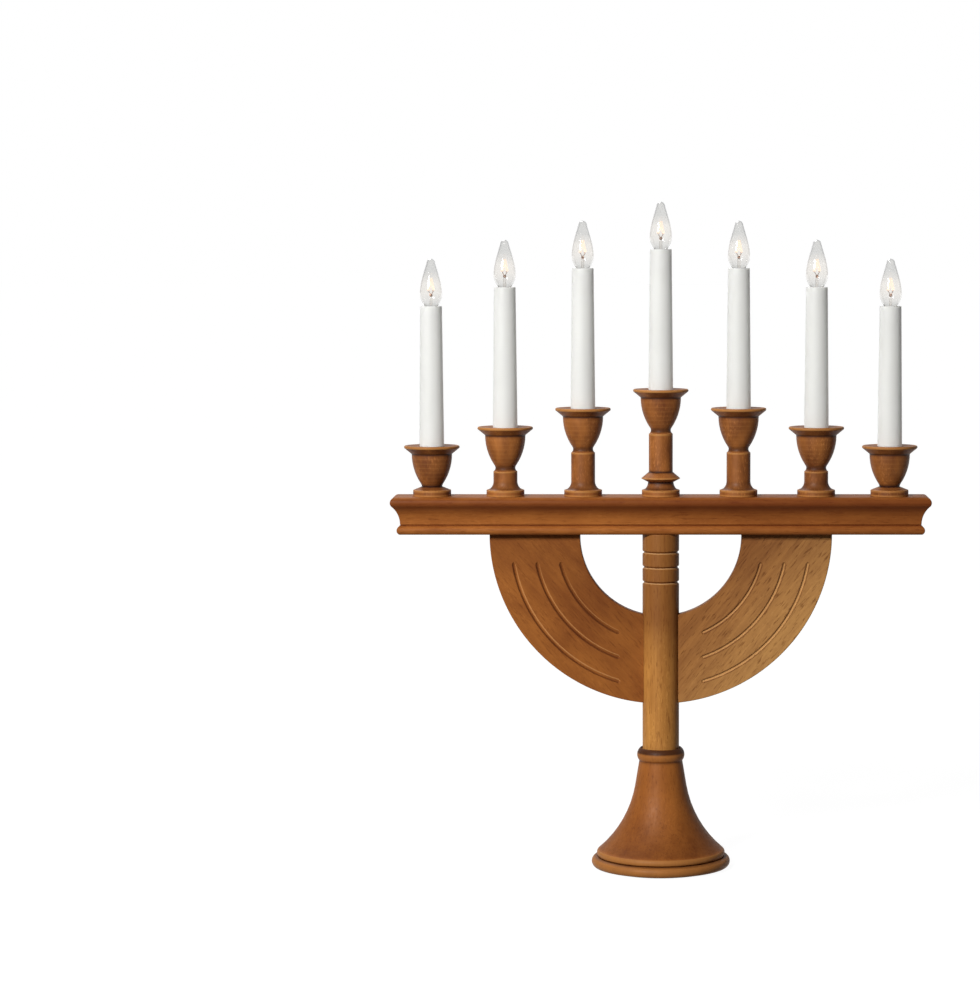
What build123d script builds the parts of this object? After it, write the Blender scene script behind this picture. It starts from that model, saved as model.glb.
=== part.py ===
from build123d import *
import os
from math import acos, asin, degrees, sqrt

# A seven-light electric candle stand in stained wood, in millimetres, +Z up.
# The origin is the middle of the foot on the table. The rail runs along X and the front faces -Y.

# Fits and cutters
glue_gap = 0.1                # each side of a glued or slipped joint
cope_gap = 0.15               # between a panel's hollowed edge and the column
cap_gap = 0.3                 # round a lamp cap in its holder
guide_gap = 0.05              # round a plunger's stem, under its head and over it
overrun = 2.0                 # how far a cutter passes through a face

# Foot
felt_thickness = 1.5
felt_radius = 44.0
rest_radius = 50.2            # flat underside of the foot
base_bead_radius = 51.8
base_bead_height = 4.0        # height of the bead's widest ring above the table
base_quirk_radius = 46.8      # sharp groove above the bead
base_quirk_height = 8.7
base_lip_radius = 48.0        # small round between the groove and the bell
bell_foot_radius = 46.4
bell_foot_height = 14.0
bell_taper_radius = 19.2      # where the bell's curve meets its straight taper
bell_taper_height = 62.4
waist_radius = 16.1           # groove under the collar
waist_height = 80.9
collar_radius = 17.7
collar_girth_height = 86.0
collar_crown_radius = 15.2
collar_height = 90.6
seat_height = 88.5            # where the column's shoulder stands in the collar

# Column
column_radius = 13.65
column_top_height = 251.5     # underside of the rail
foot_tenon_radius = 9.0
foot_tenon_length = 38.0
rail_tenon_radius = 9.0
ring_groove_count = 3
ring_groove_pitch = 11.2
ring_groove_drop = 14.0       # first groove below the rail
ring_groove_width = 2.8
ring_groove_depth = 1.4

# Foot screw
screw_head_radius = 4.5
screw_head_height = 3.0
screw_shank_radius = 2.2
screw_length = 58.0
screw_recess_radius = 6.5
screw_recess_depth = 12.0

# Rail and its moulding, whose insets are measured inwards from the lip
rail_length = 400.6
rail_depth = 37.0
rail_height = 28.0
lip_drop = 4.0                # widest line below the top
top_inset = 3.4               # rounded top edge
cove_top_inset = 1.0
cove_top_drop = 6.7
cove_inset = 6.9
cove_bottom_height = 7.6
quirk_inset = 7.7
quirk_height = 6.9
bead_top_inset = 6.6
bead_top_height = 6.3
bead_inset = 4.5
bead_girth_height = 3.1
bead_bottom_inset = 6.3
channel_reach = 179.0         # half the length of the wire channel
channel_depth = 17.0
rail_web = 3.0                # wood left between a cup's bore and the channel
cover_thickness = 3.0
inlet_radius = 3.0            # bare hole at the back for a lead
inlet_height = 13.6

# Quarter-ring panels
panel_thickness = 10.0
panel_outer_radius = 127.4
panel_inner_radius = 60.0
panel_inner_drop = 1.8        # centre of the inner curve below the rail
panel_tongue = 5.0            # how far the top edge stands in the rail's channel
mortise_depth = 4.5
mortise_thickness = 6.0
mortise_inset = 8.0           # from the panel's curved edges to its tenon
flute_count = 3
flute_inner_radius = 76.6
flute_pitch = 17.2
flute_centre_drop = 4.0
flute_top_drop = 22.0         # level where all flutes start, below the rail
flute_end_reach = 31.6        # upright line where they end, from the column's axis
flute_cutter_radius = 1.5
flute_depth = 1.1

# Candle places along the rail
inner_pitch = 57.8
end_pitch = 54.6
places_a_side = 3

# Turned cups
lowest_cup_height = 37.5
cup_height_step = 14.0
cup_base_radius = 14.1
cup_base_height = 4.4
cup_cove_radius = 11.6        # foot of the cove over the base
cup_cove_rise = 0.9
cup_cove_height = 6.4
stem_radius = 8.9
neck_radius = 7.4
neck_drop = 2.8               # from the stem's shoulder up to the neck
bowl_height = 30.4            # neck to rim
bowl_start_rise = 1.8
bowl_start_flare = 0.7
bowl_radius = 15.0
flange_radius = 20.6
flange_height = 6.2
flange_edge_height = 2.2
flange_edge_round = 0.7
dish_depth = 0.6
dish_radius = 12.0
skirt_radius = 14.6           # sharp ring on the middle cup
skirt_height = 13.1
skirt_crown_height = 17.9
skirt_root_height = 10.4
skirt_root_radius = 9.5
spigot_radius = 6.6

# Candle tubes
candle_height = 104.1
candle_top_radius = 8.05
candle_foot_radius = 9.15
candle_wall = 1.3
candle_spigot_radius = 8.8
candle_spigot_length = 14.0

# Screw-in lamps
thread_pitch = 1.814
lamp_turns = 2.0              # turns that a lamp can be loosened while it stays in its holder
glass_height = 35.0           # tip above the candle's rim
glass_girth_height = 9.0
glass_girth_radius = 8.25
glass_tip_radius = 2.9
glass_tip_height = 1.9
glass_tip_slope_share = 0.27
glass_wall = 0.6
glass_neck_radius = 4.25
glass_neck_start = 0.5        # below the candle's rim
glass_neck_length = 5.5
cap_radius = 4.7
cap_top_depth = 1.4           # below the candle's rim
cap_thread_length = 8.0
cap_taper_length = 1.8
cap_insulator_radius = 3.0
cap_tip_radius = 1.6
cap_tip_length = 1.2
stem_flare_thickness = 0.9
lamp_stem_radius = 1.2
lamp_bead_radius = 1.5
lamp_bead_height = 8.0
lead_radius = 0.25
lead_spread = 1.7
lead_height = 11.5
filament_radius = 0.35
filament_height = 20.5

# Lamp holders, plungers and side contacts
holder_recess = 0.8
holder_floor = 3.0
plunger_head_radius = 2.6
plunger_head_height = 1.2
plunger_stem_radius = 1.0
plunger_reserve = 1.0         # stem left in its guide with the lamp loosened
contact_width = 3.0
contact_thickness = 0.4
contact_drop = 3.0            # top of the strip below the holder's top

# Wires
wire_radius = 0.8
wire_clearance = 0.5
wire_bend = 2.4
lead_setback = 5.0            # ends of the supply leads, from the channel's middle

# Places worked out from the sizes above
rail_top = column_top_height + rail_height
channel_width = panel_thickness + glue_gap + glue_gap
channel_top = column_top_height + channel_depth
link_level = channel_top - wire_clearance - wire_radius
supply_level = link_level - wire_radius - wire_radius - wire_clearance
rail_tenon_length = supply_level - wire_radius - wire_clearance - column_top_height
lead_offset = wire_radius + wire_radius + wire_clearance
wire_hole_radius = lead_offset + wire_radius + wire_clearance
spigot_length = rail_height - channel_depth - rail_web
lamp_lift = thread_pitch * lamp_turns
tip_depth = cap_top_depth + cap_thread_length + cap_taper_length + cap_tip_length
plunger_top_depth = tip_depth + guide_gap
plunger_seat_depth = plunger_top_depth + plunger_head_height
holder_floor_depth = plunger_seat_depth + guide_gap
holder_bottom_depth = holder_floor_depth + holder_floor
plunger_end_depth = holder_bottom_depth + lamp_lift + plunger_reserve
bore_radius = cap_radius + cap_gap
contact_bottom_depth = holder_bottom_depth + guide_gap + contact_thickness


def turned(*edges):
    """Solid turned about Z from an outline drawn as (radius, height)."""
    return revolve(Plane.XZ * make_face(Curve() + list(edges)), Axis.Z)


def upright_cylinder(radius, low, high):
    """Cylinder on the Z axis between two heights."""
    return Pos(0, 0, low) * Cylinder(radius, high - low, align=(Align.CENTER, Align.CENTER, Align.MIN))


def block(low, high):
    """Box between two corners."""
    size = [b - a for a, b in zip(low, high)]
    middle = [(a + b) / 2 for a, b in zip(low, high)]
    return Pos(*middle) * Box(*size)


def candle_places():
    """X of every candle, from left to right."""
    right = [inner_pitch * step for step in range(1, places_a_side)]
    right.append(right[-1] + end_pitch)
    return [-x for x in reversed(right)] + [0] + right


def cup_height(index):
    """Height of a cup, which steps down from the middle of the rail to its ends."""
    steps_from_end = places_a_side - abs(index - places_a_side)
    return lowest_cup_height + cup_height_step * steps_from_end


def candle_seat(index):
    """Height where a candle's shoulder stands in its cup's dish."""
    return rail_top + cup_height(index) - dish_depth


def candle_rim(index):
    """Height of a candle's top."""
    return candle_seat(index) + candle_height


def make_felt():
    return upright_cylinder(felt_radius, 0, felt_thickness)


def make_foot():
    rest = (rest_radius, felt_thickness)
    quirk = (base_quirk_radius, base_quirk_height)
    bell_foot = (bell_foot_radius, bell_foot_height)
    taper = (bell_taper_radius, bell_taper_height)
    waist = (waist_radius, waist_height)
    crown = (collar_crown_radius, collar_height)
    seat = (column_radius + glue_gap, seat_height)
    taper_run = (bell_taper_radius - waist_radius, bell_taper_height - waist_height)
    lip = (base_lip_radius, (base_quirk_height + bell_foot_height) / 2)
    body = turned(
        Line((0, felt_thickness), rest),
        ThreePointArc(rest, (base_bead_radius, base_bead_height), quirk),
        ThreePointArc(quirk, lip, bell_foot),
        TangentArc(taper, bell_foot, tangent=taper_run),
        Line(taper, waist),
        ThreePointArc(waist, (collar_radius, collar_girth_height), crown),
        Polyline(crown, seat, (0, seat_height), (0, felt_thickness)),
    )
    socket_floor = seat_height - foot_tenon_length - glue_gap
    body -= upright_cylinder(foot_tenon_radius + glue_gap, socket_floor, seat_height + overrun)
    body -= upright_cylinder(screw_shank_radius + glue_gap, 0, socket_floor + overrun)
    body -= upright_cylinder(screw_recess_radius, 0, felt_thickness + screw_recess_depth)
    return body


def make_screw():
    head = felt_thickness + screw_recess_depth
    end = head + screw_length
    return turned(
        Polyline(
            (0, head - screw_head_height),
            (screw_head_radius, head - screw_head_height),
            (screw_head_radius, head),
            (screw_shank_radius, head),
            (screw_shank_radius, end - screw_shank_radius),
            (0, end),
            (0, head - screw_head_height),
        )
    )


def make_column():
    floor = seat_height - foot_tenon_length
    tenon_top = column_top_height + rail_tenon_length
    outline = [
        (0, floor),
        (foot_tenon_radius, floor),
        (foot_tenon_radius, seat_height),
        (column_radius, seat_height),
    ]
    for ring in reversed(range(ring_groove_count)):
        middle = column_top_height - ring_groove_drop - ring * ring_groove_pitch
        outline += [
            (column_radius, middle - ring_groove_width / 2),
            (column_radius - ring_groove_depth, middle),
            (column_radius, middle + ring_groove_width / 2),
        ]
    outline += [
        (column_radius, column_top_height),
        (rail_tenon_radius, column_top_height),
        (rail_tenon_radius, tenon_top),
        (0, tenon_top),
        (0, floor),
    ]
    body = turned(Polyline(*outline))
    screw_end = felt_thickness + screw_recess_depth + screw_length
    body -= upright_cylinder(screw_shank_radius + glue_gap, floor - overrun, screw_end + glue_gap)
    for side in (1, -1):
        body -= panel_tenon(side, glue_gap)
    return body


def moulded_section(half_width):
    """Cross-section of the moulding, symmetric about its upright middle line."""
    top = rail_height
    bead_bottom = (half_width - bead_bottom_inset, 0)
    bead_girth = (half_width - bead_inset, bead_girth_height)
    bead_top = (half_width - bead_top_inset, bead_top_height)
    quirk = (half_width - quirk_inset, quirk_height)
    cove_bottom = (half_width - cove_inset, cove_bottom_height)
    cove_top = (half_width - cove_top_inset, top - cove_top_drop)
    lip = (half_width, top - lip_drop)
    edge = (half_width - top_inset, top)
    outline = Curve() + [
        Line((0, 0), bead_bottom),
        ThreePointArc(bead_bottom, bead_girth, bead_top),
        Polyline(bead_top, quirk, cove_bottom),
        TangentArc(cove_bottom, cove_top, tangent=(0, 1)),
        ThreePointArc(cove_top, lip, edge),
        Polyline(edge, (0, top), (0, 0)),
    ]
    half = make_face(outline)
    return half + mirror(half, about=Plane.YZ)


def make_rail():
    lengthwise = extrude(Plane.YZ * moulded_section(rail_depth / 2), rail_length / 2, both=True)
    crosswise = extrude(Plane.XZ * moulded_section(rail_length / 2), rail_depth / 2, both=True)
    body = Pos(0, 0, column_top_height) * (lengthwise & crosswise)
    body -= channel_filling(channel_depth, -overrun, 0)
    body -= upright_cylinder(
        rail_tenon_radius + glue_gap, column_top_height - overrun, column_top_height + rail_tenon_length + glue_gap
    )
    for x in candle_places():
        place = Pos(x, 0, 0)
        bore_floor = rail_top - spigot_length - glue_gap
        body -= place * upright_cylinder(spigot_radius + glue_gap, bore_floor, rail_top + overrun)
        body -= place * upright_cylinder(wire_hole_radius, channel_top - overrun, rail_top)
    inlet = Rot(-90, 0, 0) * upright_cylinder(inlet_radius, 0, rail_depth)
    return body - Pos(0, 0, column_top_height + inlet_height) * inlet


def channel_filling(height, low, gap):
    """Round-ended bar that fills the rail's wire channel from below, drawn in by a gap."""
    outline = SlotOverall(2 * (channel_reach - gap), channel_width - 2 * gap)
    return Pos(0, 0, column_top_height + low) * extrude(outline, height - low)


def make_channel_covers():
    """Strips that close the channel where no panel stands in it."""
    strips = channel_filling(cover_thickness, 0, glue_gap)
    strips -= upright_cylinder(
        rail_tenon_radius + glue_gap, column_top_height - overrun, column_top_height + rail_tenon_length
    )
    for side in (1, -1):
        strips -= panel_tongue_block(side, glue_gap)
    return strips


def panel_inner_reach():
    """Half the span of the panels' inner curve, at the rail."""
    return sqrt(panel_inner_radius ** 2 - panel_inner_drop ** 2)


def panel_tongue_block(side, gap):
    """Top edge of a panel, which stands in the rail's channel."""
    ends = sorted((side * (panel_inner_reach() - gap), side * (panel_outer_radius + gap)))
    half = panel_thickness / 2 + gap
    top = column_top_height + panel_tongue + gap
    return block((ends[0], -half, column_top_height), (ends[1], half, top))


def panel_tenon(side, gap):
    """Tenon of a panel in the column's mortise."""
    ends = sorted((side * (column_radius - mortise_depth - gap), side * (column_radius + overrun)))
    half = mortise_thickness / 2 + gap
    low = column_top_height - panel_outer_radius + mortise_inset - gap
    high = column_top_height - panel_inner_radius - panel_inner_drop - mortise_inset + gap
    return block((ends[0], -half, low), (ends[1], half, high))


def make_panel(side):
    ring = Circle(panel_outer_radius) - Pos(0, -panel_inner_drop) * Circle(panel_inner_radius)
    quarter = Rectangle(panel_outer_radius, panel_outer_radius, align=(Align.MIN, Align.MAX))
    body = extrude(Plane.XZ * (ring & quarter), panel_thickness / 2, both=True)
    body = Pos(0, 0, column_top_height) * body
    body += panel_tongue_block(1, 0)
    body -= upright_cylinder(column_radius + cope_gap, 0, rail_top)
    body += panel_tenon(1, 0)
    for flute in range(flute_count):
        body -= flute_cutter(flute_inner_radius + flute * flute_pitch)
    return body if side > 0 else mirror(body, about=Plane.YZ)


def flute_cutter(radius):
    """Round-nosed cut along an arc in the front face of the right-hand panel."""
    start = degrees(asin((flute_top_drop - flute_centre_drop) / radius))
    end = degrees(acos(flute_end_reach / radius))
    face = Plane.XZ.offset(panel_thickness / 2 + flute_cutter_radius - flute_depth)
    centre = Pos(0, 0, column_top_height - flute_centre_drop)
    path = centre * (face * CenterArc((0, 0), radius, -start, start - end))
    cut = sweep(Plane(origin=path @ 0, z_dir=path % 0) * Circle(flute_cutter_radius), path=path)
    for point in (path @ 0, path @ 1):
        cut += Pos(*point) * Sphere(flute_cutter_radius)
    return cut


def make_cup(index):
    height = cup_height(index)
    neck = height - bowl_height
    shoulder = neck - neck_drop
    cove_start = (cup_cove_radius, cup_base_height + cup_cove_rise)
    cove_end = cup_base_height + cup_cove_height
    bowl_start = (neck_radius + bowl_start_flare, neck + bowl_start_rise)
    bowl_top = (bowl_radius, height - flange_height)
    edge_low = (flange_radius - flange_edge_round, height - flange_edge_height)
    edge_high = (flange_radius - flange_edge_round, height)
    edge_middle = (flange_radius, height - flange_edge_height / 2)
    dish = (dish_radius, height - dish_depth)
    outline = [
        Polyline(
            (0, height - dish_depth),
            (0, -spigot_length),
            (spigot_radius, -spigot_length),
            (spigot_radius, 0),
            (cup_base_radius, 0),
            (cup_base_radius, cup_base_height),
        ),
        TangentArc(bowl_top, bowl_start, tangent=(0, -1)),
        Line(bowl_top, edge_low),
        ThreePointArc(edge_low, edge_middle, edge_high),
        Polyline(edge_high, dish, (0, height - dish_depth)),
    ]
    base_edge = (cup_base_radius, cup_base_height)
    if shoulder < cove_end:
        outline += [Polyline(base_edge, (neck_radius, neck), bowl_start)]
    else:
        stem_top = (stem_radius, shoulder)
        outline += [Line(base_edge, cove_start)]
        outline += stem_edges(cove_start, cove_end, stem_top, index == places_a_side)
        outline += [ThreePointArc(stem_top, (neck_radius, neck), bowl_start)]
    body = turned(*outline)
    socket_floor = height - dish_depth - candle_spigot_length - glue_gap
    body -= upright_cylinder(candle_spigot_radius + glue_gap, socket_floor, height + overrun)
    body -= upright_cylinder(wire_hole_radius, -spigot_length - overrun, height)
    return Pos(candle_places()[index], 0, rail_top) * body


def stem_edges(cove_start, cove_end, stem_top, skirted):
    """Cove and stem of a cup, with the sharp-edged skirt of the middle one."""
    if not skirted:
        foot = (stem_radius, cove_end)
        return [TangentArc(foot, cove_start, tangent=(0, -1)), Line(foot, stem_top)]
    root = (skirt_root_radius, skirt_root_height)
    crown = (stem_radius, skirt_crown_height)
    return [
        TangentArc(root, cove_start, tangent=(0, -1)),
        Polyline(root, (skirt_radius, skirt_height), crown, stem_top),
    ]


def make_candle(index):
    outline = Polyline(
        (candle_spigot_radius - candle_wall, -candle_spigot_length),
        (candle_spigot_radius, -candle_spigot_length),
        (candle_spigot_radius, 0),
        (candle_foot_radius, 0),
        (candle_top_radius, candle_height),
        (candle_top_radius - candle_wall, candle_height),
        (candle_foot_radius - candle_wall, 0),
        (candle_spigot_radius - candle_wall, -candle_spigot_length),
    )
    return Pos(candle_places()[index], 0, candle_seat(index)) * turned(outline)


def candle_bore(depth):
    """Inner radius of a candle tube at a depth below its rim."""
    return candle_top_radius - candle_wall + (candle_foot_radius - candle_top_radius) * depth / candle_height


def make_holder(index):
    outline = Polyline(
        (0, -holder_bottom_depth),
        (candle_bore(holder_bottom_depth) - glue_gap, -holder_bottom_depth),
        (candle_bore(holder_recess) - glue_gap, -holder_recess),
        (bore_radius, -holder_recess),
        (bore_radius, -holder_floor_depth),
        (0, -holder_floor_depth),
        (0, -holder_bottom_depth),
    )
    body = turned(outline)
    body -= upright_cylinder(plunger_stem_radius + guide_gap, -holder_bottom_depth - overrun, -holder_floor_depth)
    body -= side_contact_leg(guide_gap, -holder_bottom_depth - overrun, -holder_recess + overrun)
    return at_rim(index) * body


def at_rim(index):
    """Place on a candle's axis at its rim."""
    return Pos(candle_places()[index], 0, candle_rim(index))


def side_contact_leg(gap, low, high):
    """Upright leg of a side contact, let into the front of the holder's bore."""
    half = contact_width / 2 + gap
    front = -bore_radius - contact_thickness - gap
    back = -bore_radius * sqrt(1 - (half / bore_radius) ** 2) + gap
    return block((-half, front, low), (half, back, high))


def make_side_contacts():
    """Brass strips, one a lamp, that touch the side of the cap and turn in under the holder."""
    strips = []
    for index in range(len(candle_places())):
        leg = side_contact_leg(0, -contact_bottom_depth, -holder_recess - contact_drop)
        leg -= upright_cylinder(bore_radius, -contact_bottom_depth + contact_thickness, 0)
        foot = block(
            (-contact_width / 2, -bore_radius, -contact_bottom_depth),
            (contact_width / 2, wire_radius - lead_offset, -contact_bottom_depth + contact_thickness),
        )
        strips.append(at_rim(index) * (leg + foot))
    return Compound(children=strips)


def make_plunger(index):
    outline = Polyline(
        (0, -plunger_end_depth),
        (plunger_stem_radius, -plunger_end_depth),
        (plunger_stem_radius, -plunger_seat_depth),
        (plunger_head_radius, -plunger_seat_depth),
        (plunger_head_radius, -plunger_top_depth),
        (0, -plunger_top_depth),
        (0, -plunger_end_depth),
    )
    return at_rim(index) * turned(outline)


def glass_outline(inset):
    """Flame-shaped side of a lamp's glass, drawn in by an inset, from its tip down to its neck."""
    tip = (0, glass_height - inset)
    shoulder = (glass_tip_radius - inset, glass_height - glass_tip_height - inset)
    girth = (glass_girth_radius - inset, glass_girth_height)
    neck = (glass_neck_radius - inset, -glass_neck_start)
    end = (glass_neck_radius - inset, -glass_neck_start - glass_neck_length)
    return [
        TangentArc(tip, shoulder, tangent=(1, 0)),
        Spline(girth, shoulder, tangents=((0, 1), (-glass_tip_slope_share, 1))),
        TangentArc(girth, neck, tangent=(0, -1)),
        Line(neck, end),
    ]


def make_glass(index):
    end = -glass_neck_start - glass_neck_length
    rim = Line((glass_neck_radius - glass_wall, end), (glass_neck_radius, end))
    crown = Line((0, glass_height - glass_wall), (0, glass_height))
    return at_rim(index) * turned(*glass_outline(0), *glass_outline(glass_wall), rim, crown)


def make_cap(index):
    bottom = -cap_top_depth - cap_thread_length
    taper_end = bottom - cap_taper_length
    inner = glass_neck_radius + guide_gap
    pocket = -glass_neck_start - glass_neck_length - guide_gap
    outline = Polyline(
        (0, -tip_depth),
        (cap_tip_radius, -tip_depth),
        (cap_tip_radius, taper_end),
        (cap_insulator_radius, taper_end),
        (cap_radius, bottom),
        (cap_radius, -cap_top_depth),
        (inner, -cap_top_depth),
        (inner, pocket),
        (0, pocket),
        (0, -tip_depth),
    )
    return at_rim(index) * turned(outline)


def rod(start, end, radius):
    """Round bar between two points."""
    run = Vector(*end) - Vector(*start)
    return extrude(Plane(origin=start, z_dir=run) * Circle(radius), run.length)


def make_filament(index):
    """Pinched stem, bead, lead wires and the peaked filament of a lamp."""
    low = -glass_neck_start - glass_neck_length
    body = upright_cylinder(glass_neck_radius - glass_wall - guide_gap, low, low + stem_flare_thickness)
    body += upright_cylinder(lamp_stem_radius, low, lamp_bead_height)
    body += Pos(0, 0, lamp_bead_height) * Sphere(lamp_bead_radius)
    peak = (0, 0, filament_height)
    for side in (1, -1):
        elbow = (side * lead_spread, 0, lead_height)
        body += rod((0, 0, lamp_bead_height), elbow, lead_radius)
        body += rod(elbow, peak, filament_radius)
        body += Pos(*elbow) * Sphere(filament_radius)
    return at_rim(index) * (body + Pos(*peak) * Sphere(filament_radius))


def wire(points):
    """Insulated wire along straight runs joined by round bends."""
    path = FilletPolyline(*points, radius=wire_bend)
    return sweep(Plane(origin=path @ 0, z_dir=path % 0) * Circle(wire_radius), path=path)


def make_wiring():
    """Series wiring: a link from each lamp to the next, and two leads from the back of the rail."""
    places = candle_places()
    tip_ends = [candle_rim(index) - plunger_end_depth - guide_gap for index in range(len(places))]
    side_ends = [candle_rim(index) - contact_bottom_depth - guide_gap for index in range(len(places))]
    wires = []
    for index, (left, right) in enumerate(zip(places, places[1:])):
        wires.append(wire([
            (left, -lead_offset, side_ends[index]),
            (left, -lead_offset, link_level),
            (right, 0, link_level),
            (right, 0, tip_ends[index + 1]),
        ]))
    for side, place, y, end in ((-1, places[0], 0, tip_ends[0]), (1, places[-1], -lead_offset, side_ends[-1])):
        x = side * (wire_radius + wire_clearance / 2)
        wires.append(wire([
            (x, channel_width / 2 + lead_setback, supply_level),
            (x, wire_radius + wire_clearance, supply_level),
            (place, y, supply_level),
            (place, y, end),
        ]))
    return Compound(children=wires)


def make_all():
    """Every node of the stand, by name."""
    nodes = {
        "foot_felt": make_felt(),
        "foot": make_foot(),
        "foot_screw": make_screw(),
        "column": make_column(),
        "rail": make_rail(),
        "channel_covers": make_channel_covers(),
        "panel_left": make_panel(-1),
        "panel_right": make_panel(1),
        "side_contacts": make_side_contacts(),
        "wiring": make_wiring(),
    }
    for index in range(len(candle_places())):
        number = index + 1
        nodes[f"cup_{number}"] = make_cup(index)
        nodes[f"candle_{number}"] = make_candle(index)
        nodes[f"lamp_holder_{number}"] = make_holder(index)
        nodes[f"contact_plunger_{number}"] = make_plunger(index)
        nodes[f"lamp_glass_{number}"] = make_glass(index)
        nodes[f"lamp_cap_{number}"] = make_cap(index)
        nodes[f"lamp_filament_{number}"] = make_filament(index)
    return nodes


os.makedirs("parts", exist_ok=True)
for name, shape in make_all().items():
    export_step(shape, f"parts/{name}.step")
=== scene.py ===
import logging
import math
from collections.abc import Iterable, Sequence
from dataclasses import dataclass
from enum import Enum

import bmesh
import bpy
from bpy.types import Material, Mesh, Node, NodeSocket, NodeTree, Object
from mathutils import Matrix, Vector


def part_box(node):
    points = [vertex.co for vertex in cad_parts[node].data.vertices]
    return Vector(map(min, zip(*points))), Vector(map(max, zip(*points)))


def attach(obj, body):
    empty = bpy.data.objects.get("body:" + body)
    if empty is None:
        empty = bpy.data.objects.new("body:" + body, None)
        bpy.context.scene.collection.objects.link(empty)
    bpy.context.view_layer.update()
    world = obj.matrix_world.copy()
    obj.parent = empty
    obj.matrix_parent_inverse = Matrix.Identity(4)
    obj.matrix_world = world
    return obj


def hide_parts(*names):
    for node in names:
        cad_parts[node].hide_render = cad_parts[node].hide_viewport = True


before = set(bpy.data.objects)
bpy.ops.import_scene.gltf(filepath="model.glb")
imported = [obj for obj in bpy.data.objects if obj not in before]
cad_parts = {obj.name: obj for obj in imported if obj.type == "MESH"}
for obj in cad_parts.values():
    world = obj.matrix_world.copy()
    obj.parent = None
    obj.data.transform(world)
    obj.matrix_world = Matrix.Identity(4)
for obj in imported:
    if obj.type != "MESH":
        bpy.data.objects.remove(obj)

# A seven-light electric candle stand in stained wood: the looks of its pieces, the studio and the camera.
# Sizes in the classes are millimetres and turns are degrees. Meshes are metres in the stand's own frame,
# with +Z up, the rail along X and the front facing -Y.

LOG = logging.getLogger("candle_stand")
MM = 0.001
ARC_STEP = math.radians(5)
SHARP_TURN = math.radians(24)
WIDEST_TURN = 2.6
CORNER_ROOM = 0.4
ROUND_STEPS = 4
WELD = 1e-6
WHITE = (1.0, 1.0, 1.0, 1.0)
BLACK = (0.0, 0.0, 0.0, 1.0)
# How far each cup, from left to right, is darkened by painted shade; the rise towards the right paints the
# light's falloff.
CUP_DARKENING = (0.5, 0.15, 0.1, 0.05, 0.4, 0.65, 0.8)

Point = tuple[float, float]
Triple = tuple[float, float, float]
Colour = tuple[float, float, float, float]


class Slot(Enum):
    """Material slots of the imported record."""

    WOOD = "stained_wood"
    CANDLE = "candle_plastic"
    BRASS = "brass"
    GLASS = "lamp_glass"
    FILAMENT = "filament_metal"


class Side(Enum):
    """Side of the column, as the sign of X."""

    LEFT = -1
    RIGHT = 1


class Socket(Enum):
    """Kinds of sockets that node groups have."""

    NUMBER = "NodeSocketFloat"
    COUNT = "NodeSocketInt"
    COLOUR = "NodeSocketColor"
    VECTOR = "NodeSocketVector"
    SHAPE = "NodeSocketGeometry"
    FINISH = "NodeSocketMaterial"


Sockets = dict[Socket, tuple[str, ...]]


def tint(red: int, green: int, blue: int) -> Colour:
    """Turns an sRGB colour in steps of 255 into a linear one.

    Args:
        red: Red step.
        green: Green step.
        blue: Blue step.

    Returns:
        The linear colour with full alpha.
    """
    shares = [step / 255 for step in (red, green, blue)]
    linear = [s / 12.92 if s <= 0.04045 else ((s + 0.055) / 1.055) ** 2.4 for s in shares]
    return (*linear, 1.0)


def unit(run: Point) -> Point:
    """Returns a flat direction at length one."""
    length = math.hypot(*run)
    return (run[0] / length, run[1] / length)


def metres(lengths: Iterable[float]) -> tuple[float, ...]:
    """Returns millimetres as metres."""
    return tuple(length * MM for length in lengths)


def run_between(start: Point, end: Point) -> Point:
    """Returns the run from one point to another."""
    return (end[0] - start[0], end[1] - start[1])


def turn_between(first: Point, second: Point) -> float:
    """Returns the angle from one run to another, anticlockwise."""
    cross = first[0] * second[1] - first[1] * second[0]
    return math.atan2(cross, first[0] * second[0] + first[1] * second[1])


def weighed(weights: Sequence[float], points: Sequence[Point]) -> Point:
    """Returns the sum of points, each times its weight."""
    return tuple(sum(weight * point[axis] for weight, point in zip(weights, points)) for axis in (0, 1))


def arc(start: Point, heading: Point, end: Point) -> list[Point]:
    """Samples the arc that leaves one point along a heading and ends at another.

    Args:
        start: First point, left out of the result.
        heading: Direction of the arc at its start.
        end: Last point.

    Returns:
        Points along the arc.
    """
    ahead = unit(heading)
    left = (-ahead[1], ahead[0])
    chord = run_between(start, end)
    forward = chord[0] * ahead[0] + chord[1] * ahead[1]
    aside = chord[0] * left[0] + chord[1] * left[1]
    turn = 2 * math.atan2(aside, forward)
    radius = (chord[0] ** 2 + chord[1] ** 2) / (2 * aside)
    steps = max(2, math.ceil(abs(turn) / ARC_STEP))
    points = []
    for step in range(1, steps + 1):
        angle = turn * step / steps
        along = radius * math.sin(angle)
        across = radius * (1 - math.cos(angle))
        points.append((
            start[0] + ahead[0] * along + left[0] * across,
            start[1] + ahead[1] * along + left[1] * across,
        ))
    return points


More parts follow.
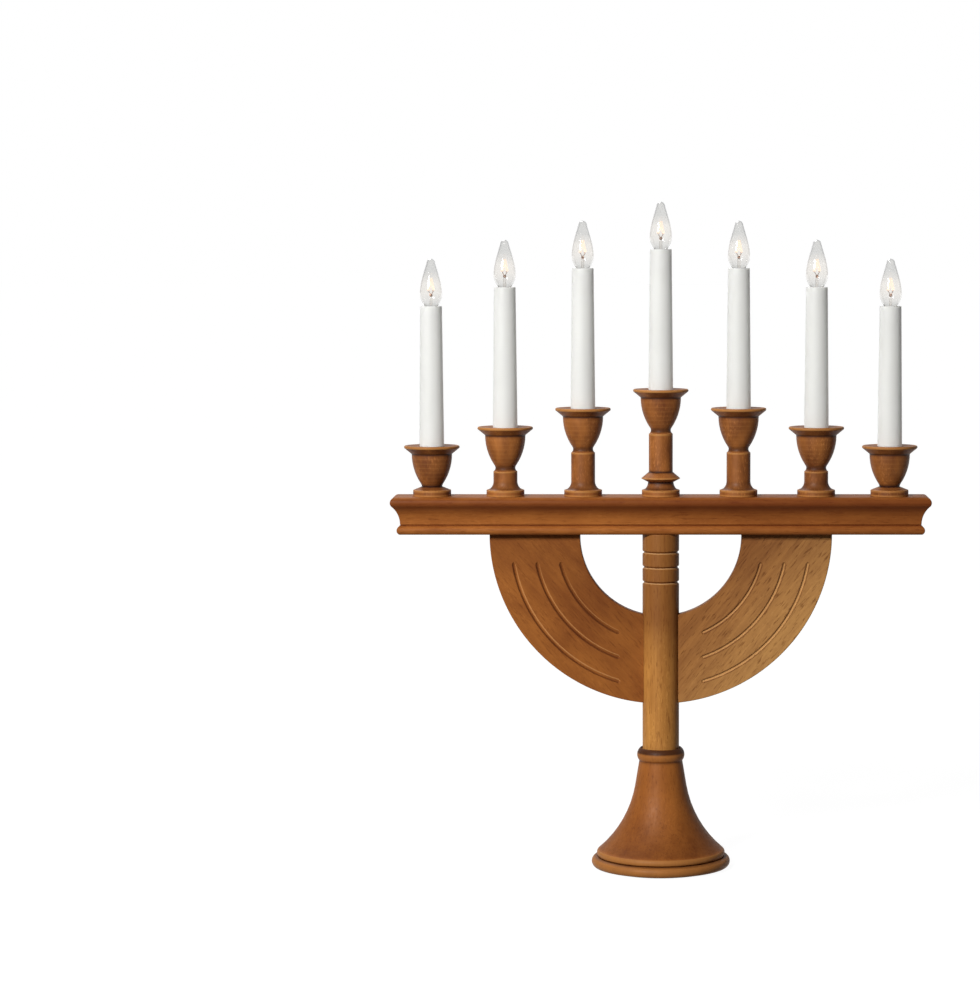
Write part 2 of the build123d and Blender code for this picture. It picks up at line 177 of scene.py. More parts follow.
class Outline:
    """Side view of a piece as (outward, up) points, drawn upwards with the material on its left."""

    def __init__(self, *start: Point) -> None:
        """Starts the line at one or more points."""
        self.points: list[Point] = list(start)

    def to(self, *ends: Point) -> "Outline":
        """Adds straight runs and returns the outline."""
        self.points.extend(ends)
        return self

    def run(self, end: Point, steps: int) -> "Outline":
        """Adds a straight run in even steps.

        Args:
            end: Last point.
            steps: Number of steps.

        Returns:
            The outline.
        """
        start = self.points[-1]
        for step in range(1, steps + 1):
            share = step / steps
            self.points.append(tuple(a + (b - a) * share for a, b in zip(start, end)))
        return self

    def through(self, middle: Point, end: Point) -> "Outline":
        """Adds the arc through a middle point.

        Args:
            middle: Any point of the arc between its ends.
            end: Last point.

        Returns:
            The outline.
        """
        start = self.points[-1]
        opening = turn_between(run_between(middle, start), run_between(middle, end))
        bend = math.copysign(math.pi, opening) - opening
        chord = run_between(start, end)
        heading = (
            chord[0] * math.cos(bend) - chord[1] * math.sin(bend),
            chord[0] * math.sin(bend) + chord[1] * math.cos(bend),
        )
        self.points.extend(arc(start, heading, end))
        return self

    def leaving(self, heading: Point, end: Point) -> "Outline":
        """Adds the arc that leaves along a heading and returns the outline."""
        self.points.extend(arc(self.points[-1], heading, end))
        return self

    def arriving(self, heading: Point, end: Point) -> "Outline":
        """Adds the arc that arrives along a heading.

        Args:
            heading: Direction of the arc at its end.
            end: Last point.

        Returns:
            The outline.
        """
        start = self.points[-1]
        back = arc(end, (-heading[0], -heading[1]), start)
        self.points.extend([*reversed(back[:-1]), end])
        return self

    def flowing(self, leave: Point, arrive: Point, end: Point, steps: int) -> "Outline":
        """Adds a smooth curve between two headings.

        Args:
            leave: Direction at the start.
            arrive: Direction at the end.
            end: Last point.
            steps: Number of runs along the curve.

        Returns:
            The outline.
        """
        start = self.points[-1]
        reach = math.dist(start, end)
        out, into = unit(leave), unit(arrive)
        for step in range(1, steps + 1):
            t = step / steps
            weights = (
                2 * t ** 3 - 3 * t ** 2 + 1,
                reach * (t ** 3 - 2 * t ** 2 + t),
                3 * t ** 2 - 2 * t ** 3,
                reach * (t ** 3 - t ** 2),
            )
            self.points.append(weighed(weights, (start, out, end, into)))
        return self

    def height_at(self, outward: float) -> float:
        """Reads a line that is drawn outwards, held at its ends.

        Args:
            outward: Distance outwards.

        Returns:
            The height of the line there.
        """
        for first, last in zip(self.points, self.points[1:]):
            if outward <= last[0]:
                share = max(0.0, (outward - first[0]) / (last[0] - first[0]))
                return first[1] + (last[1] - first[1]) * share
        return self.points[-1][1]

    def divided(self, longest: float) -> "Outline":
        """Splits the runs that are longer than a length.

        Args:
            longest: Greatest length of a run.

        Returns:
            A new outline.
        """
        split = Outline(self.points[0])
        for end in self.points[1:]:
            split.run(end, max(1, math.ceil(math.dist(split.points[-1], end) / longest)))
        return split

    def softened(self, radius: float) -> "Outline":
        """Rounds the sharp corners.

        Args:
            radius: Radius of the rounding, which short neighbours make smaller.

        Returns:
            A new outline.
        """
        soft = [self.points[0]]
        for before, corner, after in zip(self.points, self.points[1:], self.points[2:]):
            into = unit(run_between(before, corner))
            out = unit(run_between(corner, after))
            turn = abs(turn_between(into, out))
            if turn < SHARP_TURN:
                soft.append(corner)
                continue
            room = min(math.dist(before, corner), math.dist(corner, after)) * CORNER_ROOM
            cut = min(radius * math.tan(min(turn, WIDEST_TURN) / 2), room)
            first = (corner[0] - into[0] * cut, corner[1] - into[1] * cut)
            last = (corner[0] + out[0] * cut, corner[1] + out[1] * cut)
            for step in range(ROUND_STEPS + 1):
                t = step / ROUND_STEPS
                soft.append(weighed(((1 - t) ** 2, 2 * t * (1 - t), t ** 2), (first, corner, last)))
        soft.append(self.points[-1])
        return Outline(*soft)

    def hollows(self, reach: float, depth: float) -> list[float]:
        """Measures how far each point lies below its surroundings.

        Args:
            reach: Distance along the line that counts as surroundings.
            depth: Depth that gives a full hollow.

        Returns:
            One value a point: up to 1 in a groove, 0 on a smooth run and down to -1 on an edge.
        """
        along = [0.0]
        for a, b in zip(self.points, self.points[1:]):
            along.append(along[-1] + math.dist(a, b))
        found = []
        for index, point in enumerate(self.points):
            around = [self._at(along, along[index] + reach * share) for share in (-1, -0.5, 0.5, 1)]
            ahead = unit((around[2][0] - around[1][0] + WELD, around[2][1] - around[1][1]))
            mean = [sum(p[axis] for p in around) / len(around) - point[axis] for axis in (0, 1)]
            sunk = (mean[0] * ahead[1] - mean[1] * ahead[0]) / depth
            found.append(max(-1.0, min(1.0, sunk)))
        return found

    def _at(self, along: Sequence[float], distance: float) -> Point:
        """Finds a place on the line.

        Args:
            along: Distance of each point along the line.
            distance: Distance of the place, held at the ends.

        Returns:
            The point there.
        """
        distance = max(0.0, min(along[-1], distance))
        for index in range(1, len(along)):
            if along[index] >= distance:
                run = along[index] - along[index - 1]
                share = (distance - along[index - 1]) / run if run else 0.0
                a, b = self.points[index - 1], self.points[index]
                return (a[0] + (b[0] - a[0]) * share, a[1] + (b[1] - a[1]) * share)
        return self.points[-1]


class Graph:
    """Adds nodes to a node tree and joins them."""

    def __init__(self, tree: NodeTree) -> None:
        """Takes the tree to work on.

        Args:
            tree: The tree.
        """
        self.tree = tree
        self.start: Node | None = None
        self.end: Node | None = None

    @classmethod
    def group(cls, name: str, kind: str, inputs: Sockets, outputs: Sockets) -> "Graph":
        """Makes a node group with named sockets.

        Args:
            name: Name of the group.
            kind: Type of node tree.
            inputs: Names of the inputs by kind.
            outputs: Names of the outputs by kind.

        Returns:
            A graph with its group input and output nodes.
        """
        tree = bpy.data.node_groups.new(name, kind)
        for direction, sockets in (("INPUT", inputs), ("OUTPUT", outputs)):
            for socket, labels in sockets.items():
                for label in labels:
                    tree.interface.new_socket(label, in_out=direction, socket_type=socket.value)
        graph = cls(tree)
        graph.start = tree.nodes.new("NodeGroupInput")
        graph.end = tree.nodes.new("NodeGroupOutput")
        return graph

    def given(self, name: str) -> NodeSocket:
        """Returns one of the group's inputs."""
        return self.start.outputs[name]

    def put(self, name: str, value: NodeSocket) -> None:
        """Sends a value to one of the group's outputs."""
        self.tree.links.new(value, self.end.inputs[name])

    def node(self, kind: str, inputs: dict | None = None, **settings: object) -> Node:
        """Adds a node.

        Args:
            kind: Type of node.
            inputs: Value or socket for each input, by name or number.
            settings: Properties of the node.

        Returns:
            The node.
        """
        made = self.tree.nodes.new(kind)
        for name, value in settings.items():
            setattr(made, name, value)
        self.fill(made, inputs or {})
        return made

    def fill(self, node: Node, inputs: dict) -> None:
        """Feeds inputs of a node, by name or number."""
        for key, value in inputs.items():
            self.feed(node.inputs[key], value)

    def feed(self, socket: NodeSocket, value: object) -> None:
        """Links or sets an input.

        Args:
            socket: The input.
            value: Socket to link it to, or the value to set.
        """
        if isinstance(value, NodeSocket):
            self.tree.links.new(value, socket)
        else:
            socket.default_value = value

    def math(self, operation: str, *values: object) -> NodeSocket:
        """Adds a sum on numbers and returns its result."""
        return self.node("ShaderNodeMath", dict(enumerate(values)), operation=operation).outputs[0]

    def vector(self, operation: str, *values: object) -> Node:
        """Adds a sum on vectors and returns its node."""
        return self.node("ShaderNodeVectorMath", dict(enumerate(values)), operation=operation)

    def scaled(self, vector: object, share: object) -> NodeSocket:
        """Multiplies a vector by a number and returns the result."""
        return self.node("ShaderNodeVectorMath", {0: vector, "Scale": share}, operation="SCALE").outputs[0]

    def span(
        self, value: object, low: object, high: object, first: float = 0.0, last: float = 1.0
    ) -> NodeSocket:
        """Maps a stretch of values to another, held at its ends, and returns the result."""
        inputs = dict(enumerate((value, low, high, first, last)))
        return self.node("ShaderNodeMapRange", inputs, clamp=True).outputs[0]

    def blend(self, share: object, first: object, second: object) -> NodeSocket:
        """Mixes two colours and returns the result."""
        inputs = {0: share, 6: first, 7: second}
        return self.node("ShaderNodeMix", inputs, data_type="RGBA", clamp_factor=True).outputs[2]

    def filtered(self, colour: object, by: Colour) -> NodeSocket:
        """Multiplies a colour by another and returns the result."""
        inputs = {0: 1.0, 6: colour, 7: by}
        return self.node("ShaderNodeMix", inputs, data_type="RGBA", blend_type="MULTIPLY").outputs[2]

    def place(self) -> NodeSocket:
        """Returns the place in the piece's own space."""
        return self.node("ShaderNodeTexCoord").outputs["Object"]

    def carried(self, name: str) -> NodeSocket:
        """Returns a number that the mesh carries."""
        return self.node("ShaderNodeAttribute", attribute_name=name).outputs["Fac"]

    def bump(self, strength: float, depth: float, height: object) -> NodeSocket:
        """Returns the normal of a surface that is uneven by a depth in millimetres."""
        inputs = {"Strength": strength, "Distance": depth * MM, "Height": height}
        return self.node("ShaderNodeBump", inputs).outputs[0]

    def noise(self, place: object, scale: object, detail: float) -> Node:
        """Adds cloud noise and returns its node."""
        return self.node("ShaderNodeTexNoise", {"Vector": place, "Scale": scale, "Detail": detail})


@dataclass(frozen=True)
class Streaks:
    """Cloud noise drawn out along the grain, and the stretch of its values that makes a mask."""

    draw: float
    scale: float
    detail: float
    low: float = 0.0
    high: float = 1.0

    def noise(self, graph: Graph, place: NodeSocket) -> Node:
        """Adds the noise and returns its node."""
        drawn = graph.vector("MULTIPLY", place, (1.0, 1.0, self.draw)).outputs[0]
        return graph.noise(drawn, self.scale, self.detail)

    def mask(self, graph: Graph, place: NodeSocket) -> NodeSocket:
        """Adds the noise and returns it as a mask."""
        return graph.span(self.noise(graph, place).outputs[0], self.low, self.high)


@dataclass(frozen=True)
class Grain:
    """Wood grain along Z: rings, broad figure, fibres, dark pores, and pale flecks that are partly pale grain
    and partly painted glints.
    """

    drift: Streaks = Streaks(0.1, 26.0, 3.0)
    fibres: Streaks = Streaks(0.035, 620.0, 4.0, 0.3, 0.7)
    pores: Streaks = Streaks(0.14, 950.0, 2.0, 0.58, 0.7)
    flecks: Streaks = Streaks(0.3, 1100.0, 2.0, 0.55, 0.64)
    patches: Streaks = Streaks(0.3, 75.0, 2.0, 0.42, 0.58)
    cloud: Streaks = Streaks(1.0, 16.0, 2.0)
    smudge: Streaks = Streaks(0.45, 110.0, 3.0)
    ring_push: Triple = (0.02, 0.02, 0.0)
    ring_distortion: float = 1.2
    ring_detail: float = 2.0
    ring_detail_scale: float = 1.4
    ring_share: float = 0.38
    fibre_share: float = 2.4
    drift_share: float = 1.1
    cloud_share: float = 0.9
    pore_share: float = 2.2
    pore_tone: Colour = (0.5, 0.42, 0.36, 1.0)
    fleck_and_glint_tone: Colour = (1.8, 2.0, 2.4, 1.0)
    smooth: float = 0.44
    rough: float = 0.58
    fibre_height: float = 0.35

    def rings(self, graph: Graph, drift: NodeSocket) -> NodeSocket:
        """Adds growth rings.

        Args:
            graph: Graph of the group.
            drift: Cloud noise that pushes the rings about.

        Returns:
            The rings.
        """
        push = graph.vector("SUBTRACT", drift, (0.5, 0.5, 0.5)).outputs[0]
        push = graph.vector("MULTIPLY", push, self.ring_push).outputs[0]
        drawn = graph.vector("MULTIPLY", graph.given("Vector"), (1.0, 1.0, self.drift.draw)).outputs[0]
        return graph.node(
            "ShaderNodeTexWave",
            {
                "Vector": graph.vector("ADD", drawn, push).outputs[0],
                "Scale": graph.given("Ring Scale"),
                "Distortion": self.ring_distortion,
                "Detail": self.ring_detail,
                "Detail Scale": self.ring_detail_scale,
            },
            wave_type="RINGS",
            rings_direction="Z",
            wave_profile="SAW",
        ).outputs[1]

    def group(self) -> NodeTree:
        """Builds the node group.

        Returns:
            The tree.
        """
        graph = Graph.group(
            "wood_grain",
            "ShaderNodeTree",
            {
                Socket.VECTOR: ("Vector",),
                Socket.COLOUR: ("Pale", "Deep"),
                Socket.NUMBER: ("Ring Scale", "Figure", "Blotch", "Flecks"),
            },
            {Socket.COLOUR: ("Color",), Socket.NUMBER: ("Roughness", "Height")},
        )
        place, figure = graph.given("Vector"), graph.given("Figure")
        drift = self.drift.noise(graph, place)
        fibres = self.fibres.noise(graph, place).outputs[0]
        pores = self.pores.mask(graph, place)
        flecks = graph.math("MULTIPLY", self.flecks.mask(graph, place), self.patches.mask(graph, place))
        tone = 0.5
        for pattern, share in (
            (self.rings(graph, drift.outputs[1]), graph.math("MULTIPLY", figure, self.ring_share)),
            (fibres, graph.math("MULTIPLY", figure, self.fibre_share)),
            (drift.outputs[0], self.drift_share),
            (self.cloud.noise(graph, place).outputs[0], self.cloud_share),
            (self.smudge.noise(graph, place).outputs[0], graph.given("Blotch")),
        ):
            tone = graph.math("MULTIPLY_ADD", graph.math("SUBTRACT", pattern, 0.5), share, tone)
        colour = graph.blend(tone, graph.given("Pale"), graph.given("Deep"))
        dark = graph.math("MULTIPLY", pores, graph.math("MULTIPLY", figure, self.pore_share))
        colour = graph.blend(dark, colour, graph.filtered(colour, self.pore_tone))
        # Pale flecks: partly pale grain, partly painted glints.
        light = graph.math("MULTIPLY", flecks, graph.given("Flecks"))
        colour = graph.blend(light, colour, graph.filtered(colour, self.fleck_and_glint_tone))
        rough = graph.span(fibres, self.fibres.low, self.fibres.high, self.smooth, self.rough)
        graph.put("Color", colour)
        graph.put("Roughness", rough)
        graph.put("Height", graph.math("SUBTRACT", graph.math("MULTIPLY", fibres, self.fibre_height), pores))
        return graph.tree


@dataclass(frozen=True)
class StainAndShade:
    """Darkens the wood towards a dark colour in grooves, where the darkening is partly real staining and
    partly painted shade, and by a painted shade share; lightens worn edges, and walls with a painted
    highlight, towards a pale colour.
    """

    groove_start: float = 0.05
    groove_full: float = 0.8
    edge_start: float = -0.06
    edge_full: float = -0.5

    def group(self) -> NodeTree:
        """Builds the node group.

        Returns:
            The tree.
        """
        graph = Graph.group(
            "stain_and_painted_shade",
            "ShaderNodeTree",
            {
                Socket.COLOUR: ("Color", "Gathered", "Rubbed"),
                Socket.NUMBER: ("Hollow", "Grime", "Rub", "Dusk"),
            },
            {Socket.COLOUR: ("Color",)},
        )
        hollow, dusk, gathered = (graph.given(name) for name in ("Hollow", "Dusk", "Gathered"))
        # Groove darkening: partly real staining, partly painted shade.
        groove = graph.span(hollow, self.groove_start, self.groove_full)
        edge = graph.span(hollow, self.edge_start, self.edge_full)
        grime = graph.math("MULTIPLY", groove, graph.given("Grime"))
        # Worn edges get the pale colour, and so do walls that carry a painted highlight.
        worn_and_lit = graph.math("MULTIPLY", edge, graph.given("Rub"))
        worn_and_lit = graph.math("MULTIPLY", worn_and_lit, graph.math("SUBTRACT", 1.0, dusk))
        # Painted shade by its share, then the groove darkening, pull towards the dark colour.
        dark = graph.blend(dusk, graph.given("Color"), gathered)
        dark = graph.blend(grime, dark, gathered)
        graph.put("Color", graph.blend(worn_and_lit, dark, graph.given("Rubbed")))
        return graph.tree


@dataclass(frozen=True)
class Mottle:
    """Faint unevenness of moulded, drawn and felted stuff."""

    broad_detail: float = 3.0
    broad_low: float = 0.32
    broad_high: float = 0.68
    fine_scale: float = 7.0
    fine_detail: float = 4.0
    fine_low: float = 0.3
    fine_high: float = 0.7

    def group(self) -> NodeTree:
        """Builds the node group.

        Returns:
            The tree.
        """
        graph = Graph.group(
            "mottle",
            "ShaderNodeTree",
            {
                Socket.VECTOR: ("Vector",),
                Socket.COLOUR: ("First", "Second"),
                Socket.NUMBER: ("Scale", "Smooth", "Rough"),
            },
            {Socket.COLOUR: ("Color",), Socket.NUMBER: ("Roughness", "Height")},
        )
        place, scale, smooth = (graph.given(name) for name in ("Vector", "Scale", "Smooth"))
        broad = graph.noise(place, scale, self.broad_detail).outputs[0]
        fine_scale = graph.math("MULTIPLY", scale, self.fine_scale)
        fine = graph.noise(place, fine_scale, self.fine_detail).outputs[0]
        share = graph.span(broad, self.broad_low, self.broad_high)
        graph.put("Color", graph.blend(share, graph.given("First"), graph.given("Second")))
        rough = graph.math("SUBTRACT", graph.given("Rough"), smooth)
        rough = graph.math("MULTIPLY", rough, graph.span(fine, self.fine_low, self.fine_high))
        graph.put("Roughness", graph.math("ADD", smooth, rough))
        graph.put("Height", fine)
        return graph.tree


class ShaderGroups:
    """Node groups that several finishes share."""

    def __init__(self) -> None:
        """Builds each group once."""
        self.grain = Grain().group()
        self.stain = StainAndShade().group()
        self.mottle = Mottle().group()


def new_material(name: str) -> tuple[Material, Graph, Node]:
    """Makes an empty node material.

    Args:
        name: Name of the material.

    Returns:
        The material, its graph and its Principled BSDF.
    """
    material = bpy.data.materials.new(name)
    material.use_nodes = True
    graph = Graph(material.node_tree)
    material.node_tree.nodes.clear()
    shader = graph.node("ShaderNodeBsdfPrincipled")
    graph.node("ShaderNodeOutputMaterial", {"Surface": shader.outputs[0]})
    return material, graph, shader


@dataclass(frozen=True)
class SecondBoard:
    """Board glued on along a straight seam that runs through a point of the XZ plane at a slope from Z."""

    through: Point
    slope: float
    shift: Triple
    pale: Colour
    deep: Colour
    fade: float = 50.0
    step: float = 0.06

    def beyond(self, graph: Graph, place: NodeSocket) -> NodeSocket:
        """Measures how far a spot lies beyond the seam.

        Args:
            graph: Graph of the material.
            place: Object coordinates.

        Returns:
            The distance in metres, above zero on this board, to the right of and below the seam.
        """
        x, z = self.through
        slope = math.radians(self.slope)
        offset = graph.vector("SUBTRACT", place, (x * MM, 0.0, z * MM)).outputs[0]
        return graph.vector("DOT_PRODUCT", offset, (math.cos(slope), 0.0, -math.sin(slope))).outputs["Value"]


@dataclass(frozen=True)
class WoodFinish:
    """Stained and lacquered wood, cut from its own part of the tree."""

    name: str
    turn: Triple
    shift: Triple
    pale: Colour
    deep: Colour
    # Darkening in grooves (real staining and painted shade), pale worn edges and painted highlights, and a
    # painted shade share that the mesh carries as level.
    grime: float
    rub: float
    dusk: float
    gathered: Colour = tint(48, 18, 6)
    rubbed: Colour = tint(182, 124, 66)
    ring_scale: float = 26.0
    figure: float = 0.22
    blotch: float = 0.8
    flecks: float = 0.15
    sheen_level: float = 0.1
    pore_depth: float = 0.12
    pore_bump: float = 0.35
    second: SecondBoard | None = None

    def material(self, groups: ShaderGroups) -> Material:
        """Makes the material.

        Args:
            groups: Shared node groups.

        Returns:
            The material.
        """
        material, graph, shader = new_material(self.name)
        place = graph.place()
        turns = tuple(math.radians(angle) for angle in self.turn)
        inputs = {"Vector": place, "Rotation": turns, "Location": metres(self.shift)}
        turned = graph.node("ShaderNodeMapping", inputs).outputs[0]
        pale, deep = self.pale, self.deep
        if self.second:
            beyond = self.second.beyond(graph, place)
            board = graph.math("GREATER_THAN", beyond, 0.0)
            turned = graph.vector("ADD", turned, graph.scaled(metres(self.second.shift), board)).outputs[0]
            fade = self.second.fade * MM
            tone = graph.math("MULTIPLY", graph.span(beyond, -fade, fade), 1.0 - self.second.step)
            tone = graph.math("MULTIPLY_ADD", board, self.second.step, tone)
            pale = graph.blend(tone, pale, self.second.pale)
            deep = graph.blend(tone, deep, self.second.deep)
        grain = graph.node(
            "ShaderNodeGroup",
            {
                "Vector": turned,
                "Pale": pale,
                "Deep": deep,
                "Ring Scale": self.ring_scale,
                "Figure": self.figure,
                "Blotch": self.blotch,
                "Flecks": self.flecks,
            },
            node_tree=groups.grain,
        )
        stain = graph.node(
            "ShaderNodeGroup",
            {
                "Color": grain.outputs["Color"],
                "Hollow": graph.carried("hollow"),
                "Gathered": self.gathered,
                "Rubbed": self.rubbed,
                "Grime": self.grime,
                "Rub": self.rub,
                # Painted shade, by the share that the mesh carries as level.
                "Dusk": graph.math("MULTIPLY", graph.carried("level"), self.dusk),
            },
            node_tree=groups.stain,
        )
        graph.fill(shader, {
            "Base Color": stain.outputs["Color"],
            "Roughness": grain.outputs["Roughness"],
            "Normal": graph.bump(self.pore_bump, self.pore_depth, grain.outputs["Height"]),
            "Specular IOR Level": self.sheen_level,
        })
        return material


@dataclass(frozen=True)
class MottledFinish:
    """Plastic, metal, felt or wire insulation with a faint unevenness."""

    name: str
    first: Colour
    second: Colour
    scale: float
    smooth: float
    rough: float
    metallic: float = 0.0
    bump_depth: float = 0.02
    bump_strength: float = 0.15
    fuzz: float = 0.0
    depth_of_light: float = 0.0
    spread_of_light: Triple = (1.0, 1.0, 0.95)
    painted_glow: float = 0.0
    sheen_level: float = 0.5

    def material(self, groups: ShaderGroups) -> Material:
        """Makes the material.

        Args:
            groups: Shared node groups.

        Returns:
            The material.
        """
        material, graph, shader = new_material(self.name)
        mottle = graph.node(
            "ShaderNodeGroup",
            {
                "Vector": graph.place(),
                "First": self.first,
                "Second": self.second,
                "Scale": self.scale,
                "Smooth": self.smooth,
                "Rough": self.rough,
            },
            node_tree=groups.mottle,
        )
        graph.fill(shader, {
            "Base Color": mottle.outputs["Color"],
            "Roughness": mottle.outputs["Roughness"],
            "Normal": graph.bump(self.bump_strength, self.bump_depth, mottle.outputs["Height"]),
            "Metallic": self.metallic,
            "Sheen Weight": self.fuzz,
            "Specular IOR Level": self.sheen_level,
        })
        # Light that spreads under the surface, and a painted glow in the plastic's first colour that lifts
        # its shaded side.
        if self.depth_of_light:
            graph.fill(shader, {
                "Subsurface Weight": 1.0,
                "Subsurface Radius": self.spread_of_light,
                "Subsurface Scale": self.depth_of_light * MM,
                "Emission Color": self.first,
                "Emission Strength": self.painted_glow,
            })
        return material


@dataclass(frozen=True)
class GlassFinish:
    """Clear glass, smoky towards the tip, with a painted glow beside the filament."""

    name: str
    clear: Colour = tint(240, 240, 239)
    smoky: Colour = tint(236, 236, 235)
    bend: float = 1.46
    polish: float = 0.06
    glow: Colour = tint(255, 232, 208)
    glow_strength: float = 0.035

    def material(self) -> Material:
        """Makes the material.

        Returns:
            The material.
        """
        material, graph, shader = new_material(self.name)
        level = graph.carried("level")
        graph.fill(shader, {
            "Base Color": graph.blend(level, self.clear, self.smoky),
            "Roughness": self.polish,
            "IOR": self.bend,
            "Transmission Weight": 1.0,
            # Painted glow in the glass round the filament.
            "Emission Color": graph.blend(level, self.glow, BLACK),
            "Emission Strength": self.glow_strength,
        })
        return material


@dataclass(frozen=True)
class FilamentFinish:
    """Wire that glows where it is hot."""

    name: str
    cold: Colour = tint(150, 112, 92)
    roughness: float = 0.45
    metallic: float = 0.6
    hot: Colour = tint(255, 236, 218)
    strength: float = 1.05

    def material(self) -> Material:
        """Makes the material.

        Returns:
            The material.
        """
        material, graph, shader = new_material(self.name)
        graph.fill(shader, {
            "Base Color": self.cold,
            "Roughness": self.roughness,
            "Metallic": self.metallic,
            "Emission Color": graph.blend(graph.carried("glowing"), BLACK, self.hot),
            "Emission Strength": self.strength,
        })
        return material


class ShapeTrees:
    """Geometry Nodes trees that make the pieces whose shape follows a rule."""

    THREAD_FADE = 0.6

    def __init__(self) -> None:
        """Builds each tree once."""
        self.turned = self._turned()
        self.thread = self._thread()
        self.coil = self._coil()

    @staticmethod
    def _begin(name: str, inputs: Sockets) -> Graph:
        """Starts a tree that takes its own inputs and a material, and returns its graph."""
        inputs = {**inputs, Socket.FINISH: ("Material",)}
        return Graph.group(name, "GeometryNodeTree", inputs, {Socket.SHAPE: ("Shape",)})

    @staticmethod
    def _ring(graph: Graph, sides: str, radius: str) -> NodeSocket:
        """Returns a circle with two of the tree's inputs as its sides and radius."""
        inputs = {"Resolution": graph.given(sides), "Radius": graph.given(radius)}
        return graph.node("GeometryNodeCurvePrimitiveCircle", inputs).outputs[0]

    @staticmethod
    def _finish(graph: Graph, shape: NodeSocket) -> NodeTree:
        """Ends a tree with real geometry and its material.

        Args:
            graph: Graph of the tree.
            shape: What the tree has made.

        Returns:
            The tree.
        """
        real = graph.node("GeometryNodeRealizeInstances", {0: shape}).outputs[0]
        inputs = {"Geometry": real, "Material": graph.given("Material")}
        graph.put("Shape", graph.node("GeometryNodeSetMaterial", inputs).outputs[0])
        return graph.tree

    def _turned(self) -> NodeTree:
        """Builds the lathe: an outline, drawn as (radius, -height), goes round Z.

        Returns:
            The tree.
        """
        graph = self._begin(
            "turned",
            {Socket.SHAPE: ("Outline",), Socket.COUNT: ("Segments",), Socket.NUMBER: ("Core",)},
        )
        line = graph.node("GeometryNodeMeshToCurve", {"Mesh": graph.given("Outline")}).outputs[0]
        inward = graph.math("MULTIPLY", graph.given("Core"), -1.0)
        offset = graph.node("ShaderNodeCombineXYZ", {"X": inward}).outputs[0]
        line = graph.node("GeometryNodeTransform", {"Geometry": line, "Translation": offset}).outputs[0]
        ring = self._ring(graph, "Segments", "Core")
        skin = graph.node("GeometryNodeCurveToMesh", {"Curve": ring, "Profile Curve": line}).outputs[0]
        return self._finish(graph, skin)

    def _thread(self) -> NodeTree:
        """Builds a rolled thread: the outer wall round Z waves in along a helix.

        Returns:
            The tree.
        """
        graph = self._begin(
            "rolled_thread",
            {Socket.SHAPE: ("Blank",), Socket.NUMBER: ("Pitch", "Depth", "Wall Radius", "Low", "High")},
        )
        place = graph.node("GeometryNodeInputPosition").outputs[0]
        x, y, z = graph.node("ShaderNodeSeparateXYZ", {0: place}).outputs
        flat = graph.node("ShaderNodeCombineXYZ", {"X": x, "Y": y}).outputs[0]
        outward = graph.vector("NORMALIZE", flat).outputs[0]
        radius = graph.vector("LENGTH", flat).outputs["Value"]
        climb = graph.math("DIVIDE", z, graph.given("Pitch"))
        turn = graph.math("DIVIDE", graph.math("ARCTAN2", y, x), math.tau)
        phase = graph.math("MULTIPLY", graph.math("SUBTRACT", climb, turn), math.tau)
        wave = graph.math("SUBTRACT", graph.math("COSINE", phase), 1.0)
        half = graph.math("MULTIPLY", graph.given("Depth"), 0.5)
        fade = graph.math("MULTIPLY", graph.given("Pitch"), self.THREAD_FADE)
        low, high = graph.given("Low"), graph.given("High")
        rise = graph.span(z, low, graph.math("ADD", low, fade))
        fall = graph.span(z, graph.math("SUBTRACT", high, fade), high, 1.0, 0.0)
        outer = graph.math("GREATER_THAN", radius, graph.given("Wall Radius"))
        size = graph.math("MULTIPLY", graph.math("MULTIPLY", wave, half), graph.math("MULTIPLY", rise, fall))
        size = graph.math("MULTIPLY", size, outer)
        inputs = {"Geometry": graph.given("Blank"), "Offset": graph.scaled(outward, size)}
        return self._finish(graph, graph.node("GeometryNodeSetPosition", inputs).outputs[0])

    def _coil(self) -> NodeTree:
        """Builds a wire that coils round a path.

        Returns:
            The tree.
        """
        graph = self._begin(
            "coiled_wire",
            {
                Socket.SHAPE: ("Path",),
                Socket.NUMBER: ("Turns", "Coil Radius", "Wire Radius"),
                Socket.COUNT: ("Points", "Sides"),
            },
        )
        line = graph.node("GeometryNodeMeshToCurve", {"Mesh": graph.given("Path")}).outputs[0]
        inputs = {"Curve": line, "Count": graph.given("Points")}
        line = graph.node("GeometryNodeResampleCurve", inputs).outputs[0]
        share = graph.node("GeometryNodeSplineParameter").outputs["Factor"]
        angle = graph.math("MULTIPLY", graph.math("MULTIPLY", share, graph.given("Turns")), math.tau)
        normal = graph.node("GeometryNodeInputNormal").outputs[0]
        tangent = graph.node("GeometryNodeInputTangent").outputs[0]
        across = graph.vector("CROSS_PRODUCT", tangent, normal).outputs[0]
        reach = graph.given("Coil Radius")
        sideways = graph.math("MULTIPLY", graph.math("COSINE", angle), reach)
        upwards = graph.math("MULTIPLY", graph.math("SINE", angle), reach)
        offset = graph.vector("ADD", graph.scaled(normal, sideways), graph.scaled(across, upwards)).outputs[0]
        line = graph.node("GeometryNodeSetPosition", {"Geometry": line, "Offset": offset}).outputs[0]
        ring = self._ring(graph, "Sides", "Wire Radius")
        inputs = {"Curve": line, "Profile Curve": ring, "Fill Caps": True}
        return self._finish(graph, graph.node("GeometryNodeCurveToMesh", inputs).outputs[0])


